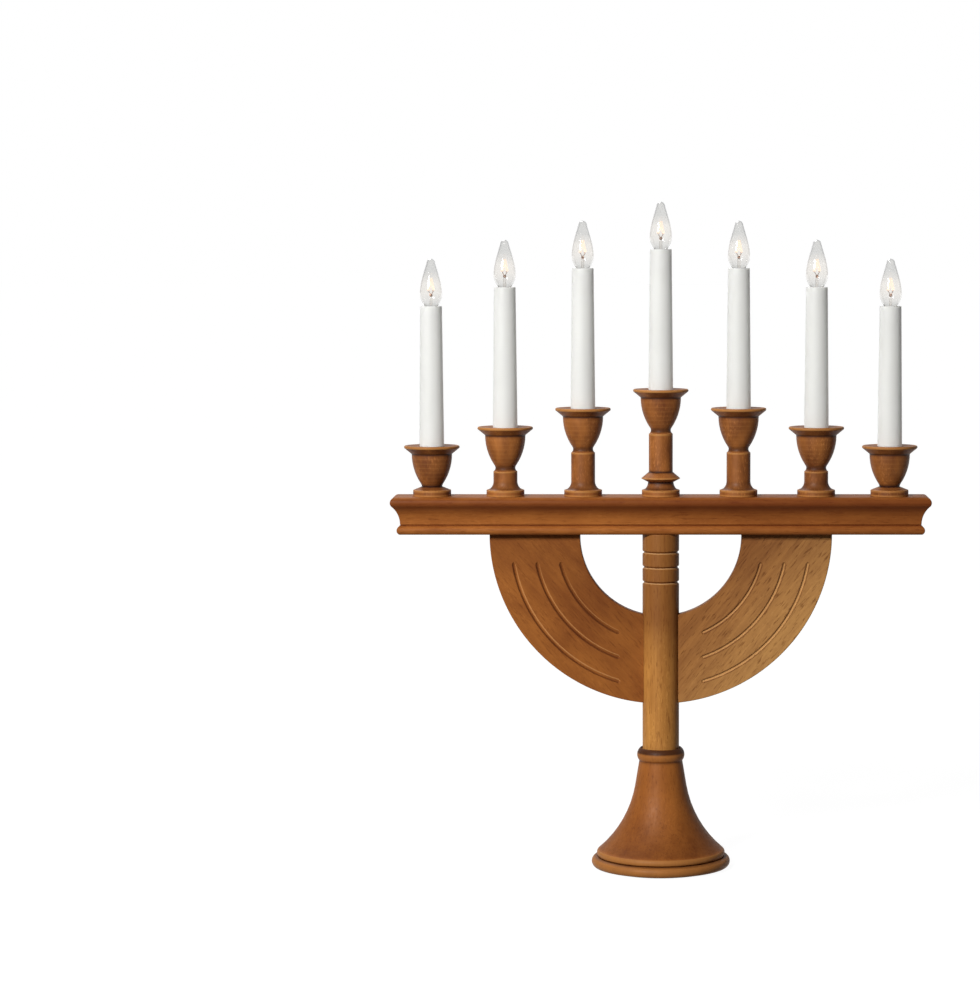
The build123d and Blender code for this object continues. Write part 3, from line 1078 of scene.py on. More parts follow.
def grow(mesh: Mesh, tree: NodeTree, values: dict[str, object]) -> Mesh:
    """Runs a Geometry Nodes tree on a mesh.

    Args:
        mesh: What the tree starts from.
        tree: The tree.
        values: Its inputs by name.

    Returns:
        The tree's result as a plain mesh.
    """
    holder = bpy.data.objects.new("holder", mesh)
    bpy.context.scene.collection.objects.link(holder)
    modifier = holder.modifiers.new("shape", "NODES")
    modifier.node_group = tree
    for item in tree.interface.items_tree:
        if item.in_out == "INPUT" and item.name in values:
            modifier[item.identifier] = values[item.name]
    ready = holder.evaluated_get(bpy.context.evaluated_depsgraph_get())
    made = bpy.data.meshes.new_from_object(ready)
    bpy.data.objects.remove(holder)
    bpy.data.meshes.remove(mesh)
    return made


def shade(mesh: Mesh) -> Mesh:
    """Smooths a mesh between its sharp edges.

    Args:
        mesh: The mesh.

    Returns:
        The same mesh.
    """
    mesh.shade_smooth()
    mesh.set_sharp_from_angle(angle=SHARP_TURN)
    return mesh


def clean(mesh: Mesh) -> Mesh:
    """Welds a mesh, turns its faces outwards and smooths it.

    Args:
        mesh: The mesh.

    Returns:
        The same mesh.
    """
    work = bmesh.new()
    work.from_mesh(mesh)
    bmesh.ops.remove_doubles(work, verts=work.verts, dist=WELD)
    bmesh.ops.dissolve_degenerate(work, edges=work.edges, dist=WELD)
    bmesh.ops.recalc_face_normals(work, faces=work.faces)
    work.to_mesh(mesh)
    work.free()
    return shade(mesh)


def wire_mesh(name: str, points: Iterable[Triple], closed: bool) -> Mesh:
    """Makes a mesh of edges through points in millimetres.

    Args:
        name: Name of the mesh.
        points: Corners of the line.
        closed: Whether its end joins its start.

    Returns:
        The mesh.
    """
    corners = [metres(point) for point in points]
    edges = [(index, index + 1) for index in range(len(corners) - 1)]
    if closed:
        edges.append((len(corners) - 1, 0))
    mesh = bpy.data.meshes.new(name)
    mesh.from_pydata(corners, edges, [])
    return mesh


def loft(name: str, corners: Sequence[Triple], count: int) -> Mesh:
    """Joins rings of corners into a closed skin.

    Args:
        name: Name of the mesh.
        corners: Corners in metres, one ring after another.
        count: Corners of a ring.

    Returns:
        The mesh.
    """
    faces = []
    last = len(corners) - count
    for start in range(0, last, count):
        for index in range(count):
            after = (index + 1) % count
            faces.append((start + index, start + after, start + count + after, start + count + index))
    faces.append(tuple(reversed(range(count))))
    faces.append(tuple(range(last, len(corners))))
    mesh = bpy.data.meshes.new(name)
    mesh.from_pydata(corners, [], faces)
    return mesh


def add_values(mesh: Mesh, name: str, values: Sequence[float]) -> None:
    """Stores one number a vertex on a mesh."""
    mesh.attributes.new(name, "FLOAT", "POINT").data.foreach_set("value", values)


def put_in_scene(name: str, mesh: Mesh) -> Object:
    """Makes an object at the origin.

    Args:
        name: Name of the object and its mesh.
        mesh: The mesh.

    Returns:
        The object.
    """
    mesh.name = name
    made = bpy.data.objects.new(name, mesh)
    bpy.context.scene.collection.objects.link(made)
    return made


def settle(name: str, mesh: Mesh, body: str, slot: Slot, *nodes: str) -> None:
    """Makes a mesh a piece, ties it to its body, and hides the solids that it stands for.

    Args:
        name: Name of the piece.
        mesh: Its finished mesh.
        body: Body that carries it.
        slot: Material slot of its finish; not used.
        nodes: Solids that it replaces.
    """
    piece = put_in_scene(name, mesh)
    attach(piece, body)
    if nodes:
        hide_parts(*nodes)
    LOG.info("%s rides on %s with %d faces", piece.name, body, len(piece.data.polygons))


@dataclass
class Lathe:
    """Turns outlines into meshes."""

    trees: ShapeTrees
    core: float = 1.0
    longest_run: float = 1.6
    groove_reach: float = 2.4
    groove_depth: float = 0.9
    edge_reach: float = 0.8
    edge_depth: float = 0.16

    def hollows(self, outline: Outline) -> list[float]:
        """Finds the wide hollows and the sharp edges of a side view.

        Args:
            outline: The side view.

        Returns:
            A value a point, above 0 in a hollow and below 0 on an edge.
        """
        grooves = outline.hollows(self.groove_reach, self.groove_depth)
        edges = outline.hollows(self.edge_reach, self.edge_depth)
        return [groove if groove > 0 else min(edge, 0.0) for groove, edge in zip(grooves, edges)]

    def turn(
        self,
        outline: Outline,
        material: Material,
        segments: int,
        closed: bool = False,
        level: Outline | None = None,
        worn_and_lit_groove_walls: bool = False,
    ) -> Mesh:
        """Turns an outline about Z.

        Args:
            outline: Side view in millimetres.
            material: Finish of the whole piece.
            segments: Number of steps round the axis.
            closed: Whether the outline is a ring that stays clear of the axis.
            level: Value of the "level" attribute at each height, drawn as a line.
            worn_and_lit_groove_walls: Whether the lower walls of grooves, which face up, get the pale colour:
                worn wood with a painted highlight.

        Returns:
            The mesh, on the Z axis.
        """
        if not closed:
            outline = outline.divided(self.longest_run)
        line = wire_mesh("outline", [(r, -z, 0.0) for r, z in outline.points], closed)
        hollows = self.hollows(outline)
        if worn_and_lit_groove_walls:
            # Lower groove walls, which face up, get a negative value: the pale colour, as worn wood and a
            # painted highlight.
            radii = [r for r, _ in outline.points]
            facing_up = [False, *(after < before for before, after in zip(radii, radii[2:])), False]
            hollows = [(-1 if up else 1) * max(value, 0.0) for value, up in zip(hollows, facing_up)]
        add_values(line, "hollow", hollows)
        if level:
            add_values(line, "level", [level.height_at(z) for _, z in outline.points])
        values = {"Segments": segments, "Core": self.core * MM, "Material": material}
        return grow(line, self.trees.turned, values)


@dataclass(frozen=True)
class CandlePlace:
    """Where one candle stands, in millimetres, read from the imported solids."""

    number: int
    x: float
    cup_foot: float
    cup_rim: float
    tube_rim: float

    @classmethod
    def all(cls) -> list["CandlePlace"]:
        """Reads every place.

        Returns:
            The places from left to right.
        """
        rail_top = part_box("rail")[1].z / MM
        count = sum(name.startswith("candle_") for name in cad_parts)
        places = []
        for number in range(1, count + 1):
            low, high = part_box(f"candle_{number}")
            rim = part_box(f"cup_{number}")[1].z / MM
            places.append(cls(number, (low.x + high.x) / 2 / MM, rail_top, rim, high.z / MM))
        return places


@dataclass
class Foot:
    """Turned bell foot with a base bead, a groove and a collar bead."""

    lathe: Lathe
    wood: Material
    segments: int = 160
    rest_radius: float = 50.2
    bead_radius: float = 51.78
    bead_height: float = 4.0
    quirk_radius: float = 46.8
    quirk_height: float = 8.7
    lip_radius: float = 48.0
    bell_radius: float = 46.4
    bell_height: float = 14.0
    taper_steps: int = 6
    taper_radius: float = 19.2
    taper_height: float = 62.4
    waist_radius: float = 16.1
    waist_height: float = 80.9
    collar_radius: float = 17.7
    collar_girth: float = 86.0
    crown_radius: float = 15.2
    # Painted shade: how far it rises, how dark it is in the quirk and on the flare, and how far it reaches up
    # the flare.
    shade_rise: float = 1.2
    quirk_shade: float = 0.7
    flare_shade: float = 0.3
    flare_reach: float = 30.0
    seat_depth: float = 2.1
    edge_round: float = 0.35

    def outline(self) -> Outline:
        """Draws the side of the foot.

        Returns:
            The outline.
        """
        low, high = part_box("foot")
        rest, crown = low.z / MM, high.z / MM
        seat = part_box("column")[1].x / MM
        taper = (self.taper_radius, self.taper_height)
        waist = (self.waist_radius, self.waist_height)
        line = Outline((0.0, rest), (self.rest_radius, rest))
        line.through((self.bead_radius, self.bead_height), (self.quirk_radius, self.quirk_height))
        lip = (self.lip_radius, (self.quirk_height + self.bell_height) / 2)
        line.through(lip, (self.bell_radius, self.bell_height))
        line.arriving(run_between(taper, waist), taper)
        line.run(waist, self.taper_steps)
        line.through((self.collar_radius, self.collar_girth), (self.crown_radius, crown))
        line.to((seat, crown - self.seat_depth), (0.0, crown - self.seat_depth))
        return line.softened(self.edge_round)

    def stain(self) -> Outline:
        """Draws the painted shade at each height: in the quirk, on the upward-facing flare and over the
        collar's top.

        Returns:
            The line, drawn along the heights.
        """
        return Outline(
            (self.quirk_height - self.shade_rise, 0.0),
            (self.quirk_height, self.quirk_shade),
            (self.quirk_height + self.shade_rise, 0.0),
            (self.bell_height, 0.0),
            (self.bell_height + self.shade_rise, self.flare_shade),
            (self.bell_height + self.flare_reach, 0.0),
            (self.collar_girth, 0.0),
            (self.collar_girth + self.shade_rise, 1.0),
        )

    def build(self) -> None:
        """Makes the foot."""
        mesh = self.lathe.turn(self.outline(), self.wood, self.segments, level=self.stain())
        settle("turned_foot", clean(mesh), "stand", Slot.WOOD, "foot")


@dataclass
class Column:
    """Turned post with three ring grooves."""

    lathe: Lathe
    wood: Material
    segments: int = 128
    foot_height: float = 88.5
    groove_count: int = 3
    groove_pitch: float = 11.2
    groove_drop: float = 14.0
    groove_width: float = 2.8
    groove_depth: float = 1.4
    run_steps: int = 6
    top_steps: int = 4
    edge_round: float = 0.25
    # Heights over which the painted shadow of the rail grows on the post.
    rail_shadow_start: float = 148.0
    rail_shadow_full: float = 186.0

    def outline(self) -> Outline:
        """Draws the side of the post.

        Returns:
            The outline.
        """
        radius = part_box("column")[1].x / MM
        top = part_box("rail")[0].z / MM
        line = Outline((0.0, self.foot_height), (radius, self.foot_height))
        for ring in reversed(range(self.groove_count)):
            middle = top - self.groove_drop - ring * self.groove_pitch
            line.run((radius, middle - self.groove_width / 2), self.run_steps)
            line.to((radius - self.groove_depth, middle), (radius, middle + self.groove_width / 2))
        line.run((radius, top), self.top_steps)
        line.to((0.0, top))
        return line.softened(self.edge_round)

    def build(self) -> None:
        """Makes the post."""
        # Painted shadow of the rail, darkening the top of the post.
        level = Outline((self.rail_shadow_start, 0.0), (self.rail_shadow_full, 1.0))
        mesh = self.lathe.turn(self.outline(), self.wood, self.segments, level=level, worn_and_lit_groove_walls=True)
        settle("turned_column", clean(mesh), "stand", Slot.WOOD, "column")


@dataclass
class Rail:
    """Moulded rail whose moulding returns round its ends, with a wire channel and a lead inlet."""

    lathe: Lathe
    wood: Material
    lip_drop: float = 4.0
    top_inset: float = 3.4
    cove_top_inset: float = 1.0
    cove_top_drop: float = 6.7
    cove_inset: float = 6.9
    cove_height: float = 7.6
    quirk_inset: float = 7.7
    quirk_height: float = 6.9
    bead_top_inset: float = 6.6
    bead_top_height: float = 6.3
    bead_inset: float = 4.5
    bead_girth: float = 3.1
    bead_bottom_inset: float = 6.3
    channel_depth: float = 17.0
    channel_end_steps: int = 12
    glue_gap: float = 0.1
    overrun: float = 2.0
    inlet_radius: float = 3.0
    inlet_height: float = 13.6
    inlet_segments: int = 32
    corner_round: float = 0.7
    corner_steps: int = 5
    edge_round: float = 0.3
    # How dark the lip is drawn, and the painted shadow that the lip casts on the top of the cove.
    lip_share: float = 0.7
    lip_shadow_line: float = 1.3
    lip_shadow_reach: float = 7.0

    def section(self, height: float) -> Outline:
        """Draws the moulding.

        Args:
            height: Height of the rail.

        Returns:
            The outline, with the lip at zero.
        """
        line = Outline((-self.bead_bottom_inset, 0.0))
        line.through((-self.bead_inset, self.bead_girth), (-self.bead_top_inset, self.bead_top_height))
        line.to((-self.quirk_inset, self.quirk_height), (-self.cove_inset, self.cove_height))
        line.leaving((0.0, 1.0), (-self.cove_top_inset, height - self.cove_top_drop))
        line.through((0.0, height - self.lip_drop), (-self.top_inset, height))
        return line.softened(self.edge_round)

    def ring(self, half_length: float, half_depth: float) -> list[Point]:
        """Draws one level of the rail.

        Args:
            half_length: Reach along X.
            half_depth: Reach along Y.

        Returns:
            Points of a rectangle with rounded corners, anticlockwise from its right-hand front corner.
        """
        points = []
        for turn, (x_side, y_side) in enumerate(((1, -1), (1, 1), (-1, 1), (-1, -1))):
            centre = (x_side * (half_length - self.corner_round), y_side * (half_depth - self.corner_round))
            for step in range(self.corner_steps + 1):
                angle = math.pi / 2 * (turn - 1 + step / self.corner_steps)
                points.append((
                    centre[0] + self.corner_round * math.cos(angle),
                    centre[1] + self.corner_round * math.sin(angle),
                ))
        return points

    def blank(self) -> Mesh:
        """Makes the moulded bar.

        Returns:
            Its mesh.
        """
        low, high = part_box("rail")
        section = self.section((high.z - low.z) / MM)
        hollows = self.lathe.hollows(section)
        corners, values, levels = [], [], []
        height = section.points[-1][1]
        shadow = height - self.cove_top_drop
        # Painted shadow of the lip, darkest at the top of the cove; a darker lip; nothing on the top face.
        stain = Outline(
            (shadow - self.lip_shadow_reach, 0.0),
            (shadow - self.lip_shadow_line, self.lip_share),
            (shadow, 1.0),
            (height - self.lip_drop, self.lip_share),
            (height - self.lip_drop / 2, self.lip_share),
            (height, 0.0),
        )
        for (outward, up), hollow in zip(section.points, hollows):
            ring = self.ring(high.x / MM + outward, high.y / MM + outward)
            corners.extend((x * MM, y * MM, low.z + up * MM) for x, y in ring)
            # Painted shade share along the rail, none at the left end and full at the right end, where the
            # light falls off.
            levels.extend((x * MM - low.x) / (high.x - low.x) for x, _ in ring)
            values.extend([max(hollow, 0.0) + stain.height_at(up)] * len(ring))
        mesh = loft("rail_blank", corners, len(ring))
        add_values(mesh, "hollow", values)
        add_values(mesh, "level", levels)
        mesh.materials.append(self.wood)
        return mesh

    def channel_cutter(self) -> Mesh:
        """Makes the round-ended cutter of the wire channel.

        Returns:
            Its mesh.
        """
        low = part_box("rail")[0].z
        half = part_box("panel_right")[1].y + self.glue_gap * MM
        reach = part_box("channel_covers")[1].x + self.glue_gap * MM - half
        outline = []
        for side, start in ((1, -90), (-1, 90)):
            for step in range(self.channel_end_steps + 1):
                angle = math.radians(start + 180 * step / self.channel_end_steps)
                outline.append((side * reach + half * math.cos(angle), half * math.sin(angle)))
        heights = (low - self.overrun * MM, low + self.channel_depth * MM)
        corners = [(x, y, height) for height in heights for x, y in outline]
        return loft("channel_cutter", corners, len(outline))

    def inlet_cutter(self) -> Mesh:
        """Makes the drill of the lead inlet in the back.

        Returns:
            Its mesh.
        """
        low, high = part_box("rail")
        length = high.y + self.overrun * MM
        place = Matrix.Translation((0.0, length / 2, low.z + self.inlet_height * MM))
        work = bmesh.new()
        bmesh.ops.create_cone(
            work,
            cap_ends=True,
            segments=self.inlet_segments,
            radius1=self.inlet_radius * MM,
            radius2=self.inlet_radius * MM,
            depth=length,
            matrix=place @ Matrix.Rotation(math.pi / 2, 4, "X"),
        )
        mesh = bpy.data.meshes.new("inlet_cutter")
        work.to_mesh(mesh)
        work.free()
        return mesh

    def build(self) -> None:
        """Makes the rail."""
        bar = put_in_scene("rail_blank", clean(self.blank()))
        shapes = (self.channel_cutter(), self.inlet_cutter())
        cutters = [put_in_scene(mesh.name, clean(mesh)) for mesh in shapes]
        for cutter in cutters:
            cut = bar.modifiers.new(cutter.name, "BOOLEAN")
            cut.operation = "DIFFERENCE"
            cut.solver = "EXACT"
            cut.object = cutter
        ready = bar.evaluated_get(bpy.context.evaluated_depsgraph_get())
        mesh = bpy.data.meshes.new_from_object(ready)
        for spare in (bar, *cutters):
            bpy.data.objects.remove(spare)
        settle("moulded_rail", shade(mesh), "stand", Slot.WOOD, "rail")


@dataclass(frozen=True)
class PanelShading:
    """Painted shade and painted highlight of a board: the offset of its flutes' pattern, the share that
    darkens both edges of a flute and lightens its middle, and the painted shade towards its inner edge.
    """

    flute: float
    both_edges: float
    inner: float


# Painted shade and highlights of each board.
PANEL_SHADINGS = {Side.LEFT: PanelShading(0.22, 0.0, 0.95), Side.RIGHT: PanelShading(0.1, 0.75, 0.5)}


@dataclass
class FlutedPanel:
    """Quarter-ring board with three routed flutes in its front."""

    wood: Material
    side: Side
    stained: PanelShading
    outer_radius: float = 127.4
    inner_radius: float = 60.0
    inner_drop: float = 1.8
    cope_radius: float = 13.8
    flute_count: int = 3
    flute_radius: float = 76.6
    flute_pitch: float = 17.2
    flute_drop: float = 4.0
    flute_top_drop: float = 22.6
    flute_end_reach: float = 31.6
    cutter_radius: float = 1.35
    flute_depth: float = 0.8
    edge_round: float = 0.6
    rim_steps: int = 3
    flat_shares: tuple[float, ...] = (0.0, 0.05, 0.35, 0.65, 0.95)
    flute_steps: int = 12
    rows: int = 320
    angle_rounds: int = 4
    # Painted shade and highlight of the flutes by the side they face, the painted shadow under the rail, how
    # much of it the flutes take, and a painted shade line at the inner edge.
    lit_side: Point = (-0.72, -0.69)
    rail_shadow: float = 1.0
    rail_shadow_reach: float = 40.0
    flute_shade_share: float = 0.5
    inner_rim_shade: float = 0.5

    def __post_init__(self) -> None:
        """Reads the board's place and works out where its stations lie."""
        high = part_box(f"panel_{self.side.name.lower()}")[1]
        self.half = high.y / MM
        self.top = high.z / MM
        self.rail_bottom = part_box("rail")[0].z / MM
        self.straight_levels = (self.top, self.rail_bottom)
        self.centre = self.rail_bottom - self.flute_drop
        sunk = self.cutter_radius - self.flute_depth
        self.flute_half = math.sqrt(self.cutter_radius ** 2 - sunk ** 2)
        self.stations = []
        flute_shares = tuple(step / self.flute_steps for step in range(self.flute_steps))
        for span in range(2 * self.flute_count + 1):
            shares = flute_shares if span % 2 else self.flat_shares
            self.stations.extend(span + share for share in shares)
        self.stations.append(2.0 * self.flute_count + 1)

    def edges(self, angle: float) -> Point:
        """Finds the board's edges.

        Args:
            angle: Angle below X, seen from the flutes' centre.

        Returns:
            The distances of the inner and the outer edge from that centre.
        """
        inner_rise = self.flute_drop - self.inner_drop
        found = []
        for rise, radius in ((inner_rise, self.inner_radius), (self.flute_drop, self.outer_radius)):
            sine = rise * math.sin(angle)
            found.append(-sine + math.sqrt(sine ** 2 - rise ** 2 + radius ** 2))
        return found[0], found[1]

    def radius(self, station: float, inner: float, outer: float) -> float:
        """Finds a station.

        Args:
            station: Place between the inner and the outer edge.
            inner: Distance of the inner edge from the flutes' centre.
            outer: Distance of the outer edge from it.

        Returns:
            The distance of the station from it.
        """
        anchors = [inner + self.edge_round]
        for flute in range(self.flute_count):
            middle = self.flute_radius + flute * self.flute_pitch
            anchors.extend((middle - self.flute_half, middle + self.flute_half))
        anchors.append(outer - self.edge_round)
        span = min(int(station), len(anchors) - 2)
        return anchors[span] + (anchors[span + 1] - anchors[span]) * (station - span)

    def cut(self, radius: float, angle: float) -> Point:
        """Measures the flutes at a spot of the front.

        Args:
            radius: Distance from the flutes' centre.
            angle: Angle below X.

        Returns:
            How deep the spot is cut, and how far it faces the shaded side.
        """
        deepest, shaded = 0.0, 0.0
        for flute in range(self.flute_count):
            middle = self.flute_radius + flute * self.flute_pitch
            start = math.asin((self.flute_top_drop - self.flute_drop) / middle)
            end = math.acos(self.flute_end_reach / middle)
            near = max(start, min(end, angle))
            across = radius * math.cos(angle) - middle * math.cos(near)
            down = radius * math.sin(angle) - middle * math.sin(near)
            away = across ** 2 + down ** 2
            if away < self.flute_half ** 2 + WELD:
                sunk = math.sqrt(self.cutter_radius ** 2 - away) - self.cutter_radius + self.flute_depth
                deepest = max(sunk, WELD)
                # Painted shade and highlight: walls turned away from lit_side darken, walls turned towards it
                # lighten, and both_edges darkens the two edges and lightens the middle.
                faced = across * self.side.value * self.lit_side[0] - down * self.lit_side[1]
                shaded = faced / self.flute_half
                edge = 2 * away / self.flute_half ** 2 - 1
                shaded += (edge - shaded) * self.stained.both_edges
        return deepest, shaded

    def loop(self) -> list[Triple]:
        """Lists the corners of the board's cross-section.

        Returns:
            Each as (station, step outwards, Y), round from the front's inner edge.
        """
        bevel = []
        for step in range(1, self.rim_steps + 1):
            angle = math.pi / 2 * step / self.rim_steps
            bevel.append((math.sin(angle) * self.edge_round, (1 - math.cos(angle)) * self.edge_round))
        last = self.stations[-1]
        points = [(station, 0.0, -self.half) for station in self.stations]
        points += [(last, out, -self.half + back) for out, back in bevel]
        points += [(last, out, self.half - back) for out, back in reversed(bevel)]
        points += [(station, 0.0, self.half) for station in reversed(self.stations)]
        points += [(0.0, -out, self.half - back) for out, back in bevel]
        points += [(0.0, -out, -self.half + back) for out, back in reversed(bevel)]
        return points

    def stain(self, station: float, z: float) -> float:
        """Finds the painted shade towards the inner edge, by the column, and the painted shadow under the
        rail.

        Args:
            station: Place between the inner and the outer edge.
            z: Height of the spot.

        Returns:
            The share of painted shade.
        """
        inward = 1.0 - station / self.stations[-1]
        upward = max(0.0, 1.0 - (self.rail_bottom - z) / self.rail_shadow_reach)
        return min(1.0, self.stained.inner * inward ** 2 + self.rail_shadow * upward)

    def spot(self, row: int, station: float, out: float, y: float) -> tuple[Triple, float]:
        """Places one corner of the board.

        Args:
            row: Row from the rail (straight rows first) to the column.
            station: Place between the inner and the outer edge.
            out: Step outwards from the station.
            y: Place through the thickness.

        Returns:
            The corner of the right-hand board in millimetres, and its hollow.
        """
        straight_rows = len(self.straight_levels)
        if row < straight_rows:
            x = self.radius(station, *self.edges(0.0)) + out
            return (x, y, self.straight_levels[row]), 0.0
        share = (row - straight_rows) / self.rows
        reach = math.sqrt(self.cope_radius ** 2 - y ** 2)
        angle = share
        for _ in range(self.angle_rounds):
            radius = self.radius(station, *self.edges(angle)) + out
            angle = share * math.acos(reach / radius)
        depth, shaded = self.cut(radius, angle) if y == -self.half else (0.0, 0.0)
        corner = (radius * math.cos(angle), y + depth, self.centre - radius * math.sin(angle))
        # Flute walls add part of the painted shade by the column and under the rail.
        if depth:
            held = self.flute_shade_share * self.stain(station, corner[2])
            return corner, shaded + self.stained.flute + held
        # Outside the flutes, the inner edge gets a painted shade line.
        return corner, self.inner_rim_shade if out < 0 else 0.0

    def build(self) -> None:
        """Makes the board."""
        loop = self.loop()
        corners, values, levels = [], [], []
        for row in range(len(self.straight_levels) + self.rows + 1):
            for station, out, y in loop:
                (x, deep, z), hollow = self.spot(row, station, out, y)
                corners.append(metres((x * self.side.value, deep, z)))
                values.append(hollow)
                # Painted shade share by the column and under the rail.
                levels.append(self.stain(station, z))
        mesh = loft("panel", corners, len(loop))
        add_values(mesh, "hollow", values)
        add_values(mesh, "level", levels)
        mesh.materials.append(self.wood)
        name = self.side.name.lower()
        settle(f"fluted_panel_{name}", clean(mesh), "stand", Slot.WOOD, f"panel_{name}")


@dataclass
class Cup:
    """Turned cup that holds one candle."""

    lathe: Lathe
    wood: Material
    place: CandlePlace
    skirted: bool
    stain: float
    segments: int = 96
    base_radius: float = 14.1
    base_height: float = 4.4
    cove_radius: float = 11.6
    cove_rise: float = 0.9
    cove_height: float = 6.4
    stem_radius: float = 8.9
    stem_steps: int = 6
    neck_radius: float = 7.4
    neck_drop: float = 2.8
    bowl_height: float = 30.4
    bowl_start_rise: float = 1.8
    bowl_start_flare: float = 0.7
    bowl_radius: float = 15.0
    flange_radius: float = 20.6
    flange_height: float = 6.2
    edge_height: float = 2.2
    edge_roll: float = 0.7
    dish_depth: float = 0.6
    dish_radius: float = 12.0
    skirt_radius: float = 14.6
    skirt_height: float = 13.1
    skirt_crown: float = 17.9
    skirt_root_height: float = 10.4
    skirt_root_radius: float = 9.5
    edge_round: float = 0.3

    def stem(self, line: Outline, shoulder: float) -> None:
        """Draws the cove and the stem, with the sharp-edged skirt where the cup has one.

        Args:
            line: Outline that has reached the top of the base.
            shoulder: Height of the stem's top.
        """
        line.to((self.cove_radius, self.base_height + self.cove_rise))
        if self.skirted:
            line.arriving((0.0, 1.0), (self.skirt_root_radius, self.skirt_root_height))
            line.to((self.skirt_radius, self.skirt_height), (self.stem_radius, self.skirt_crown))
        else:
            line.arriving((0.0, 1.0), (self.stem_radius, self.base_height + self.cove_height))
        line.run((self.stem_radius, shoulder), self.stem_steps)

    def outline(self) -> Outline:
        """Draws the side of the cup from its base up.

        Returns:
            The outline.
        """
        height = self.place.cup_rim - self.place.cup_foot
        neck = height - self.bowl_height
        shoulder = neck - self.neck_drop
        bowl_start = (self.neck_radius + self.bowl_start_flare, neck + self.bowl_start_rise)
        edge = self.flange_radius - self.edge_roll
        line = Outline((0.0, 0.0), (self.base_radius, 0.0), (self.base_radius, self.base_height))
        if shoulder < self.base_height + self.cove_height:
            line.to((self.neck_radius, neck), bowl_start)
        else:
            self.stem(line, shoulder)
            line.through((self.neck_radius, neck), bowl_start)
        line.arriving((0.0, 1.0), (self.bowl_radius, height - self.flange_height))
        line.to((edge, height - self.edge_height))
        line.through((self.flange_radius, height - self.edge_height / 2), (edge, height))
        line.to((self.dish_radius, height - self.dish_depth), (0.0, height - self.dish_depth))
        return line.softened(self.edge_round)

    def build(self) -> None:
        """Makes the cup."""
        # The whole cup takes its share of painted shade.
        level = Outline((0.0, self.stain), (self.place.cup_rim, self.stain))
        mesh = self.lathe.turn(self.outline(), self.wood, self.segments, level=level)
        mesh.transform(Matrix.Translation((self.place.x * MM, 0.0, self.place.cup_foot * MM)))
        number = self.place.number
        settle(f"turned_cup_{number}", clean(mesh), "stand", Slot.WOOD, f"cup_{number}")


@dataclass
class CandleTube:
    """Tapered plastic tube."""

    lathe: Lathe
    plastic: Material
    place: CandlePlace
    segments: int = 72
    height: float = 104.1
    top_radius: float = 8.05
    foot_radius: float = 9.15
    wall: float = 1.3
    wall_steps: int = 12
    edge_round: float = 0.3

    def outline(self) -> Outline:
        """Draws the wall of the tube from its foot up.

        Returns:
            The outline.
        """
        middle = (self.foot_radius - self.wall / 2, 0.0)
        line = Outline(middle, (self.foot_radius, 0.0))
        line.run((self.top_radius, self.height), self.wall_steps)
        line.to((self.top_radius - self.wall, self.height))
        line.run((self.foot_radius - self.wall, 0.0), self.wall_steps)
        return line.to(middle).softened(self.edge_round)

    def build(self) -> None:
        """Makes the tube."""
        outline = self.outline()
        outline.points.pop()
        mesh = self.lathe.turn(outline, self.plastic, self.segments, closed=True)
        foot = self.place.tube_rim - self.height
        mesh.transform(Matrix.Translation((self.place.x * MM, 0.0, foot * MM)))
        number = self.place.number
        settle(f"candle_tube_{number}", clean(mesh), "stand", Slot.CANDLE, f"candle_{number}")


